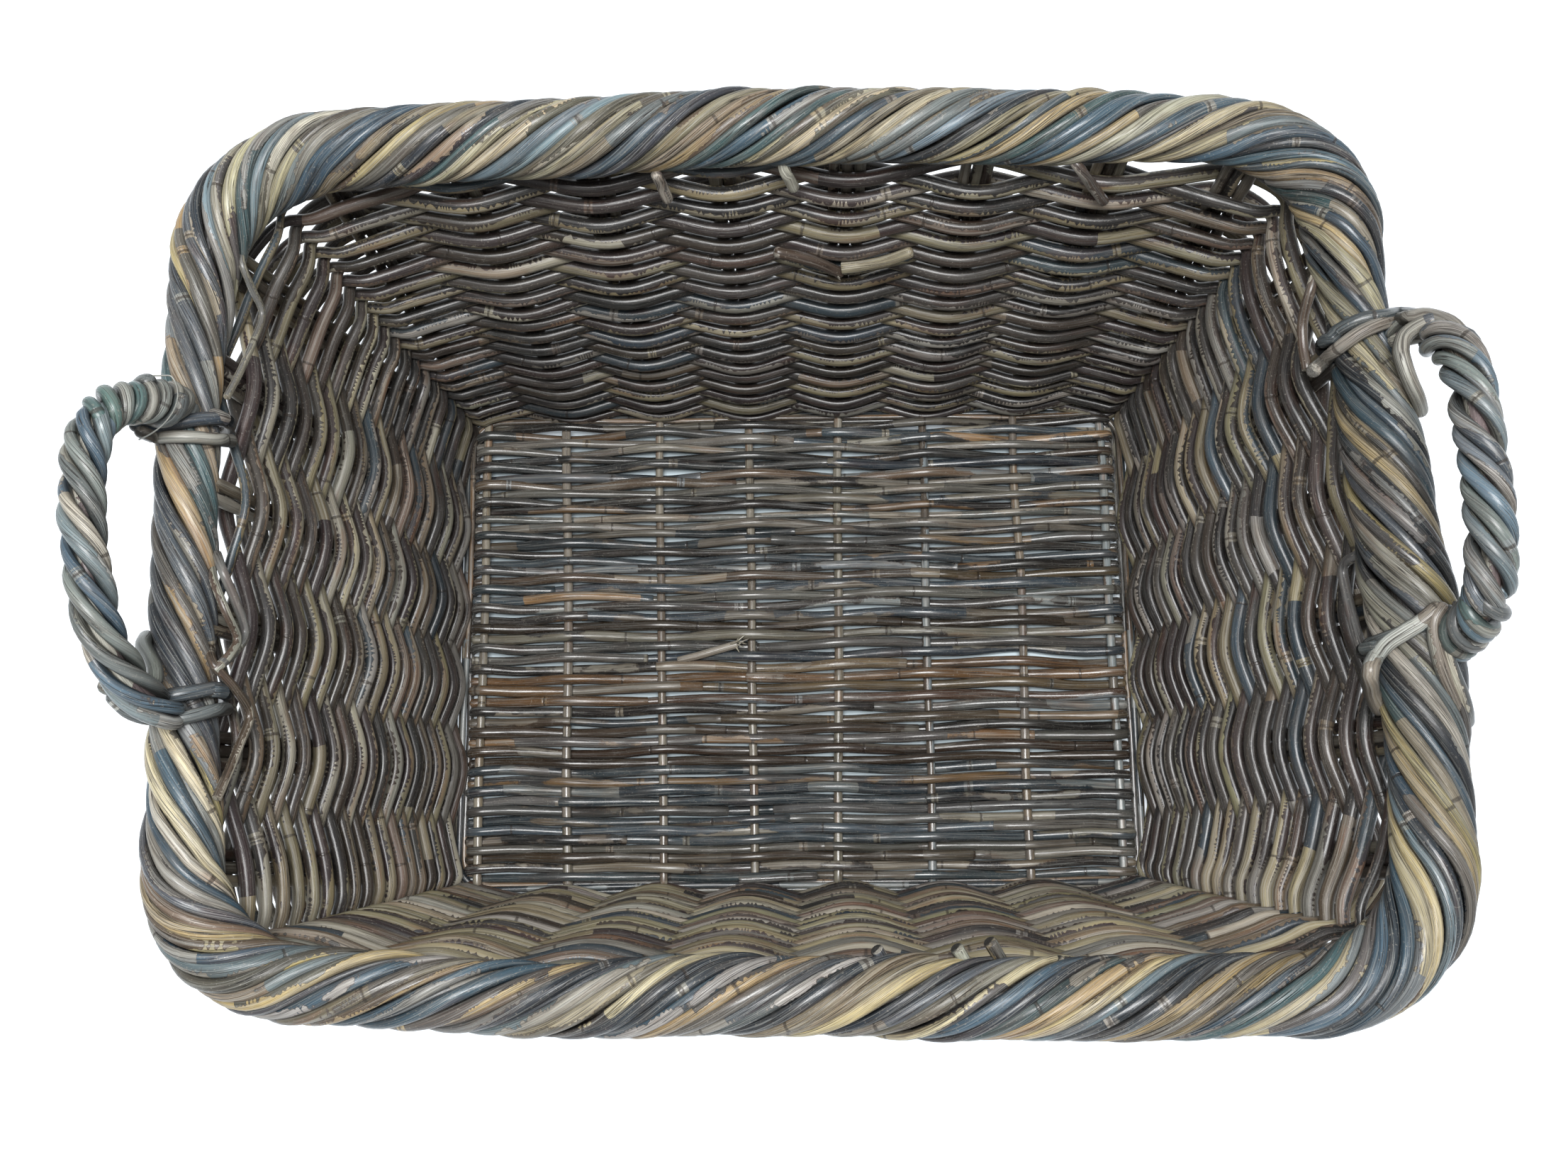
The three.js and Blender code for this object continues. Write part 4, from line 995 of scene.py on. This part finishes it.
RIM_LENGTH = 1942.5
strands = ("tan", "blue", "cream")
for g_, colour in enumerate(strands):
    piece = Piece(f"rope_border_{colour}")
    for j in range(5):
        s_i = g_ * 5 + j
        phase = g_ / 3 + (j - 2) / 15
        rng = rs(5, s_i)
        # ends lie at the underside: angle -90 degrees, where 12 u + phase = 3/4 + a whole number
        base_u = [((0.75 + n - phase) / TURNS) for n in range(TURNS)]
        base_u.append(base_u[0] + 1.0)
        n = 0
        while n < TURNS:
            run = min(int(rng.choice([1, 1, 2])), TURNS - n)
            u0, u1 = base_u[n], base_u[n + run]
            n += run
            count = int((u1 - u0) * RIM_LENGTH * 1.2 / 4.2)
            u = np.linspace(u0 - 0.0022, u1 + 0.0022, count)
            along = (u - u[0]) * RIM_LENGTH
            thick = rope_radius(u)
            widths = rope_widths(g_, u)
            share = widths[:, j] / widths.sum(1)
            lay = thick - 3.6
            rr = 1.14 * math.pi * lay / 3 * share / np.hypot(1, 2 * np.pi * TURNS * lay / RIM_LENGTH)
            rr = rr * (1 + 0.06 * np.clip(rng.normal(), -1.5, 1.5)) * (1 + smooth_noise(along, 80, rng, 0.03))
            off = thick - rr - 3.2 * (1 - widths[:, j] / STRAND_WIDTHS[g_][j]) + 0.3 * rng.normal() + smooth_noise(along, 45, rng, 0.5)
            ease = np.minimum(np.minimum(along, along[-1] - along) / 12.0, 1.0)
            off = off - 3.0 * (1 - ease) ** 2
            # the rods lie side by side, each taking its own share of the strand
            place = (np.cumsum(widths, 1) - widths / 2)[:, j] / widths.sum(1)
            shift = smooth_noise(along, 60, rng, 0.04) + 2 * np.pi * ((place - 0.5) / 3 - (j - 2) / 15)
            line, radial = rope_line(u, phase, off, shift)
            pick = rng.random()
            if pick < 0.06:
                kind = strands[int(rng.integers(0, 3))]
            elif j < 2 or (j == 2 and (colour == "blue" or rng.random() < 0.4)):
                kind = "blue"
            else:
                kind = {"tan": "tan", "cream": "cream"}.get(colour, ("tan", "cream")[int(rng.integers(0, 2))])
            skins, peels, amount = RIM_LOOKS[kind]
            # the right end is drawn darker, as painted shade; the left end is the most worn, and drawn lighter
            at_left, at_right = (float(np.clip((side * line[:, 0].mean() - 255.0) / 30.0, 0, 1)) for side in (-1, 1))
            amount = (amount[0] + 0.13 * at_left, min(amount[1] + 0.1 * at_left, 1.0))
            piece.rod(line, rr, look(rng, skins, peels, amount, 0.95, 1 + 0.2 * at_left - 0.36 * at_right, vary=0.14), ref=radial, sides=14, ends=("tuck", "tuck"))
    if g_ == 0:
        u = np.arange(520) / 520
        # the core is drawn at half brightness: painted shade in the gaps between the rods
        lk = look(rs(6), ((UMBER, 1),), ((DUN, 1),), (0.0, 0.1), 0.3, 0.5)
        piece.rod(rope_point(u), rope_radius(u) - 6.9, lk, ref=(0, 0, 1), sides=14, closed=True, lump=0.01)
    for key, (u_, v_, kind) in enumerate(((1045, 1367, "tan"), (1237, 1340, "blue"), (1266, 1361, "cream"), (1350, 1338, "cream"), (1397, 1329, "tan"), (1493, 1355, "blue"))):
        # rods cut off where they come up through the border's inner edge
        if kind == colour:
            tip = at_z(u_, v_, 331.0)
            skins, peels, amount = RIM_LOOKS[kind]
            line = np.linspace(tip + np.array([6.0, -9.0, -9.0]), tip, 8)
            piece.rod(line, 3.1, look(rs(13, key), skins, peels, amount, 0.9, 1.0, vary=0.08), ref=(0.2, 0.1, 1), sides=12, ends=("tuck", "cut"))
    slot = {"tan": "rim_tan", "blue": "rim_slate_blue", "cream": "rim_cream"}[colour]
    piece.build(mat_rim[colour], slot, f"rim_strand_{colour}")

# ---- handles: a bow with rods wound round it, whose tails are tied over the rope border --------------
HANDLE_LEFT = [
    [-306.9, 68.6, 339.2], [-306.6, 67.6, 349.6], [-312.5, 60.6, 368], [-317, 54.1, 382], [-320.9, 42.8, 390], [-323.4, 27.9, 392],
    [-322.2, 7.5, 393], [-319.1, -15.8, 393], [-316.2, -35, 391], [-312.7, -53.5, 385], [-308.6, -68, 374], [-304.1, -78, 363],
    [-299.1, -85.2, 349.8], [-298.8, -87.2, 341.2],
]
HANDLE_RIGHT = [
    [303.6, 93.6, 338.4], [308.9, 92, 348], [310.6, 84.3, 365.5], [312.2, 71.9, 379], [312.3, 58.5, 386], [312, 41.7, 390], [312, 20.9, 392],
    [311.9, -2.6, 393], [311.4, -25.1, 392], [311.5, -40.3, 387.5], [311.6, -51.1, 377], [310.8, -56.4, 363], [311.2, -59.4, 349.2],
]
mat_core = rattan("rattan_handle_core", gloss=0.4, matt=0.5, crevice=0.2)
mat_wrap = rattan("rattan_handle_wrap", gloss=0.34, matt=0.42, relief=1.3, coat=0.15, streak=0.6, crevice=0.8, crevice_shade_to=0.8, lines=0.5, rusty=0.3, ragged=0.5, tooth=0.15)
WRAP_SKINS = ((srgb(120, 132, 136), 4), (srgb(92, 114, 128), 3), (srgb(118, 124, 120), 4), (TEAL, 1), (INK, 1))
WRAP_PEELS = ((srgb(146, 146, 138), 4), (srgb(136, 142, 142), 4), (srgb(196, 198, 192), 2), (srgb(176, 170, 154), 1))
DARK_WRAP = ((INK, 2), (srgb(72, 80, 82), 3))
TAUPE_WRAP = ((srgb(126, 118, 106), 3), (srgb(134, 128, 116), 2))
TEAL_WRAP = ((srgb(98, 105, 104), 2), (srgb(114, 118, 113), 2))


class Bow:
    """A bent line with directions along it, turned as little as possible."""

    def __init__(self, pts):
        self.p, self.s, _ = spline(pts, step=2.0)
        t = directions(self.p)
        n = np.zeros_like(self.p)
        n[0] = unit(np.array([0, 0, 1.0]) - t[0] * t[0][2])
        for i in range(1, len(t)):
            n[i] = unit(n[i - 1] - t[i] * np.dot(n[i - 1], t[i]))
        self.t, self.n = t, n
        self.length = self.s[-1]

    def at(self, s):
        def f(x):
            return np.stack([np.interp(s, self.s, x[:, d]) for d in range(3)], 1)

        t = unit(f(self.t))
        n = f(self.n)
        n = unit(n - t * np.sum(n * t, 1, keepdims=True))
        # beyond its ends the line runs straight on
        over = np.where(s < 0, s, np.where(s > self.length, s - self.length, 0.0))
        return f(self.p) + t * over[:, None], t, n, np.cross(t, n)

    def wind(self, s0, s1, pitch, start, off, ends=(1, 1), rng=None, step=3.4, wobble=0.3):
        """A rod wound round the bow from s0 to s1, dipping under its neighbours at the ends asked for. Returns points and outward directions."""
        s = np.linspace(s0, s1, 400)
        k = pitch(s) if callable(pitch) else np.full(400, float(pitch))
        a = np.concatenate([[0], np.cumsum((1 / k[1:] + 1 / k[:-1]) / 2 * np.diff(s))]) * 2 * np.pi
        arc = np.concatenate([[0], np.cumsum(np.hypot(np.diff(s), off * np.diff(a)))])
        m_ = max(int(arc[-1] / step), 6)
        e = np.linspace(0, arc[-1], m_)
        s, a = np.interp(e, arc, s), np.interp(e, arc, a) + start
        if rng is not None:
            a = a + smooth_noise(e, 40, rng, 0.05)
        o = np.full(m_, float(off))
        if rng is not None:
            o = o + smooth_noise(e, 25, rng, wobble)
        o = o - ends[0] * 3.6 * np.clip(1 - e / 11, 0, 1) ** 2 - ends[1] * 3.6 * np.clip(1 - (e[-1] - e) / 11, 0, 1) ** 2
        c, t, n, b_ = self.at(s)
        radial = n * np.cos(-a)[:, None] + b_ * np.sin(-a)[:, None]
        return c + radial * o[:, None], radial


bows = {"left": Bow(HANDLE_LEFT), "right": Bow(HANDLE_RIGHT)}
for side, bow in bows.items():
    n_side = 0 if side == "left" else 1
    rng = rs(7, n_side)
    core = Piece(f"ear_{side}_core")
    line, t, n, b_ = bow.at(np.linspace(-2, bow.length + 2, 90))
    core.rod(line, 4.2 if side == "left" else 4.6, look(rng, ((MAUVE, 1),), ((PALE, 3), (CREAM, 1)), (0.85, 0.97), 0.8), ref=n, sides=12)
    core.build(mat_core, "handle_core", f"handle_{side}_core")

    wrap = Piece(f"ear_{side}_wrap")
    total = bow.length
    round_, fat = (7.2, 3.35) if side == "left" else (7.8, 3.55)
    if side == "left":
        pitch = lambda s: np.interp(s, [0, 60, 90, total - 78, total], [50, 55, 70, 76, 110])
        spans = ((56, total + 3), (54, total + 3), (58, total + 3), (55, total - 14), (57, total - 30))
        tight = ((-3, 62, 25.0), (-3, 60, 25.0), (-3, 64, 25.0))
    else:
        pitch = lambda s: np.interp(s, [0, 40, 90, total - 60, total - 30, total], [110, 80, 70, 66, 50, 45])
        spans = ((-3, total - 34), (-3, total - 36), (14, total - 30), (26, total - 33), (38, total - 35))
        tight = ((total - 38, total + 3, 23.0), (total - 40, total + 3, 23.0), (total - 36, total + 3, 23.0))
    # the right handle's wraps are drawn darker than the left's: painted shade
    for w, (s0, s1) in enumerate(spans):
        rw = rs(8, w, n_side)
        turned = -2 * np.pi * s0 * float(np.mean(1 / pitch(np.linspace(0, s0, 50)))) if s0 > 0 else 0.0
        p, radial = bow.wind(s0, s1, pitch, 2 * np.pi * (w + 0.12 * rw.normal()) / 5 - turned + 0.6, round_, (1, 1), rw)
        wrap.rod(p, fat + 0.18 * rw.normal(), look(rw, WRAP_SKINS, WRAP_PEELS, (0.22, 0.66), 1.0, 1.0 if side == "left" else 0.9), ref=radial, sides=14)
    for w, (s0, s1, k) in enumerate(tight):
        rw = rs(81, w, n_side)
        p, radial = bow.wind(s0, s1, k, 2 * np.pi * w / 3 + 0.3, round_ + 0.1, (0, 1) if side == "left" else (1, 0), rw, step=2.8)
        wrap.rod(p, fat + 0.12 * rw.normal(), look(rw, WRAP_SKINS + TEAL_WRAP, WRAP_PEELS, (0.22, 0.66), 1.0, 0.95 if side == "left" else 0.85), ref=radial, sides=14)
    wrap.build(mat_wrap, "handle_wrap", f"handle_{side}_wrap")


def round_rope(y, side, angles, over=4.1):
    """Points round the rope border at y, by angle from its outer side over the top."""
    sx = -1 if side == "left" else 1
    share = np.array([rim_share(sx * 300, y)])
    c, off = rope_point(share)[0], float(rope_radius(share)[0]) + over
    return [[c[0] + sx * off * math.cos(math.radians(a)), y, c[2] + off * math.sin(math.radians(a))] for a in angles]


def tail(piece, pts, r, key, skins, peels=WRAP_PEELS, amount=(0.1, 0.45), ends=("round", "round"), grain=1.0, shade=1.0, taper=None):
    rng = rs(10, key)
    p, e, _ = spline(pts, step=2.8)
    up = np.tile([0.0, 0.0, 1.0], (len(p), 1))
    rr = np.full(len(p), float(r)) if taper is None else np.interp(e, [0, e[-1]], [r, taper])
    piece.rod(p, rr, look(rng, skins, peels, amount, grain, shade, vary=0.06), ref=up, sides=14, ends=ends)


# left handle, back foot: a dark and a pale tail over the border, and a broad curl over the bow
piece = Piece("ear_left_lashing_back")
over = [on_rope(u, v, 3.3) for u, v in ((222, 607), (244, 599), (277, 592), (305, 591), (322, 596))]
tail(piece, [at_z(193, 600, 352), *over, *round_rope(over[-1][1] - 1.5, "left", (150, 180, 215, 240, 270, 300, 330))], 3.6, 1, DARK_WRAP)
over = [on_rope(u, v, 3.1) for u, v in ((222, 617), (244, 616), (277, 617), (305, 620), (325, 622))]
tail(piece, [at_z(199, 609, 352), *over], 3.35, 2, TAUPE_WRAP, amount=(0.4, 0.7))
p, radial = bows["left"].wind(13.6, 23.6, 13.0, 2.2, 9.4, (0, 0), rs(101), step=2.6)
piece.rod(p, 4.3, look(rs(102), TEAL_WRAP, WRAP_PEELS, (0.1, 0.3), 0.8, vary=0.05), ref=radial, sides=14)
hair = [at_z(216, 530, 366), at_z(230, 530, 368), at_z(243, 532, 372), at_z(251, 553, 366), at_z(247, 575, 362), at_z(232, 597, 360), at_z(213, 612, 358), at_z(196, 620, 354)]
p, _, _ = spline(hair, step=2.0)
piece.rod(p, 0.42, look(rs(103), ((srgb(150, 150, 146), 1),), ((srgb(176, 174, 168), 1),), (0.3, 0.6), 0.2), ref=(0.2, 0.1, 1), sides=5, ends=("tuck", "tuck"))
piece.build(mat_wrap, "handle_wrap", "handle_left_lashing_back")

# left handle, front foot
piece = Piece("ear_left_lashing_front")
over = [on_rope(u, v, 3.3) for u, v in ((222, 986), (245, 981), (275, 976), (300, 972), (318, 975))]
tail(piece, [at_z(176, 984, 356), at_z(198, 989, 353), *over, *round_rope(over[-1][1] - 1.5, "left", (150, 180, 215, 240, 270, 300, 330))], 3.7, 3, DARK_WRAP)
over = [on_rope(u, v, 3.1) for u, v in ((222, 1013), (245, 1014), (275, 1009), (300, 1003), (319, 1000))]
tail(piece, [at_z(160, 985, 360), at_z(180, 1003, 355), at_z(201, 1011, 352), *over], 3.45, 4, TEAL_WRAP)
hook = [at_z(150, 968, 360), at_z(176, 977, 358), at_z(200, 977, 356), at_z(216, 965, 355), at_z(219, 948, 353), at_z(212, 929, 347), at_z(203, 912, 338), at_z(207, 900, 328)]
tail(piece, hook, 3.9, 5, TEAL_WRAP)
piece.build(mat_wrap, "handle_wrap", "handle_left_lashing_front")

# right handle, back foot
piece = Piece("ear_right_lashing_back")
over = [on_rope(u, v, 3.0) for u, v in ((1975, 442), (1950, 446), (1925, 449), (1900, 459), (1882, 471))]
tail(piece, [at_z(2006, 446, 353), *over, *round_rope(over[-1][1] - 1.5, "right", (150, 180, 215, 240, 270, 300, 330))], 3.4, 6, DARK_WRAP)
over = [on_rope(u, v, 3.3) for u, v in ((1970, 452), (1945, 458), (1918, 470), (1890, 490), (1866, 511))]
tail(piece, [at_z(2068, 478, 374), at_z(2050, 458, 372), at_z(2030, 449, 366), at_z(2008, 444, 359), at_z(1990, 447, 354), *over, at_z(1853, 523, 340)], 3.6, 7, ((srgb(132, 124, 110), 1),), ((CREAM, 2), (TAUPE, 1)), (0.55, 0.8), ends=("round", "cut"))
loop = [at_z(2020, 452, 364), at_z(1998, 462, 359), at_z(1982, 474, 354), at_z(1976, 492, 350), at_z(1981, 516, 348), at_z(1990, 540, 346), at_z(1999, 560, 342), at_z(2003, 578, 334)]
tail(piece, loop, 4.0, 8, DARK_WRAP)
piece.build(mat_wrap, "handle_wrap", "handle_right_lashing_back")

# right handle, front foot
piece = Piece("ear_right_lashing_front")
over = [on_rope(u, v, 3.1) for u, v in ((2000, 884), (1975, 893), (1950, 902), (1928, 911))]
tail(piece, [at_z(2030, 870, 352), *over, *round_rope(over[-1][1] - 1.5, "right", (150, 180, 215, 240, 270, 300, 330))], 3.2, 9, DARK_WRAP)
over = [on_rope(u, v, 3.5) for u, v in ((2003, 879), (1980, 893), (1957, 908), (1941, 926))]
tail(piece, [at_z(2026, 860, 354), *over, at_z(1933, 946, 344), at_z(1934, 972, 330), at_z(1945, 998, 316)], 4.1, 10, TAUPE_WRAP, amount=(0.5, 0.75))
for d, key, sk in ((0, 11, TAUPE_WRAP), (1, 12, DARK_WRAP)):
    band = [at_z(2034 + 11 * d, 858 + 4 * d, 356), at_z(2024 + 14 * d, 874, 355), at_z(2023 + 14 * d, 896, 353), at_z(2028 + 14 * d, 922, 351), at_z(2037 + 14 * d, 950, 348), at_z(2049 + 13 * d, 978, 343), at_z(2060 + 9 * d, 1003, 336), at_z(2062 + 8 * d, 1018, 328)]
    tail(piece, band, 3.2, key, sk)
piece.build(mat_wrap, "handle_wrap", "handle_right_lashing_front")

# ---- floor and light ------------------------------------------------------------------------------------
mesh = bpy.data.meshes.new("floor")
half = 6.0
mesh.from_pydata([(-half, -half, 0), (half, -half, 0), (half, half, 0), (-half, half, 0)], [], [(0, 1, 2, 3)])
floor = bpy.data.objects.new("floor", mesh)
bpy.context.scene.collection.objects.link(floor)
fm = bpy.data.materials.new("pale_floor")
fm.use_nodes = True
fb = fm.node_tree.nodes["Principled BSDF"]
fb.inputs["Base Color"].default_value = (0.86, 0.88, 0.90, 1)
fb.inputs["Roughness"].default_value = 0.9
fb.inputs["Specular IOR Level"].default_value = 0.1
# the floor's glow is painted light; its strength is linked below
fb.inputs["Emission Color"].default_value = (0.84, 0.93, 1.0, 1)
fb.inputs["Emission Strength"].default_value = 0.2
# painted shadow: the floor right under the basket is drawn darker and bluer
ft = fm.node_tree
place = ft.nodes.new("ShaderNodeTexCoord")
parts = ft.nodes.new("ShaderNodeSeparateXYZ")
ft.links.new(place.outputs["Object"], parts.inputs[0])
masks = []
for socket, reach in (("X", 0.236), ("Y", 0.168)):
    size_ = ft.nodes.new("ShaderNodeMath"); size_.operation = "ABSOLUTE"
    ft.links.new(parts.outputs[socket], size_.inputs[0])
    edge_ = ft.nodes.new("ShaderNodeMapRange"); edge_.interpolation_type = "SMOOTHSTEP"
    ft.links.new(size_.outputs[0], edge_.inputs["Value"])
    edge_.inputs["From Min"].default_value, edge_.inputs["From Max"].default_value = reach - 0.012, reach
    masks.append(edge_)
most = ft.nodes.new("ShaderNodeMath"); most.operation = "MAXIMUM"
for m_, socket in zip(masks, most.inputs):
    ft.links.new(m_.outputs[0], socket)
painted_floor_shadow = ft.nodes.new("ShaderNodeMix"); painted_floor_shadow.data_type = "RGBA"
ft.links.new(most.outputs[0], painted_floor_shadow.inputs[0])
painted_floor_shadow.inputs[6].default_value, painted_floor_shadow.inputs[7].default_value = (0.66, 0.77, 0.82, 1), (0.86, 0.88, 0.90, 1)
ft.links.new(painted_floor_shadow.outputs[2], fb.inputs["Base Color"])
# only the floor outside the basket glows: painted light that keeps it white where the basket's shadow would fall
painted_floor_glow = ft.nodes.new("ShaderNodeMath"); painted_floor_glow.operation = "MULTIPLY"; painted_floor_glow.inputs[1].default_value = 0.42
ft.links.new(most.outputs[0], painted_floor_glow.inputs[0])
ft.links.new(painted_floor_glow.outputs[0], fb.inputs["Emission Strength"])
mesh.materials.append(fm)

world = bpy.data.worlds.new("studio")
world.use_nodes = True
world.node_tree.nodes["Background"].inputs["Color"].default_value = (0.97, 0.985, 1.0, 1)
world.node_tree.nodes["Background"].inputs["Strength"].default_value = 0.42
bpy.context.scene.world = world


def area(name, where, aim, size, watts, colour=(1, 1, 1)):
    data = bpy.data.lights.new(name, "AREA")
    data.shape = "RECTANGLE"
    data.size, data.size_y = size
    data.energy = watts
    data.color = colour
    o = bpy.data.objects.new(name, data)
    bpy.context.scene.collection.objects.link(o)
    z = unit(np.array(where, float) - np.array(aim, float))
    x = unit(np.cross(np.array([0, 1.0, 0]) if abs(z[1]) < 0.9 else np.array([1.0, 0, 0]), z))
    y = np.cross(z, x)
    mw = Matrix.Identity(4)
    for i in range(3):
        mw[i][0], mw[i][1], mw[i][2], mw[i][3] = x[i], y[i], z[i], where[i]
    o.matrix_world = mw
    return o


area("softbox", (-0.05, -0.08, 2.0), (0, 0, 0.1), (1.0, 0.6), 41)
bpy.context.scene.view_settings.view_transform = "Standard"
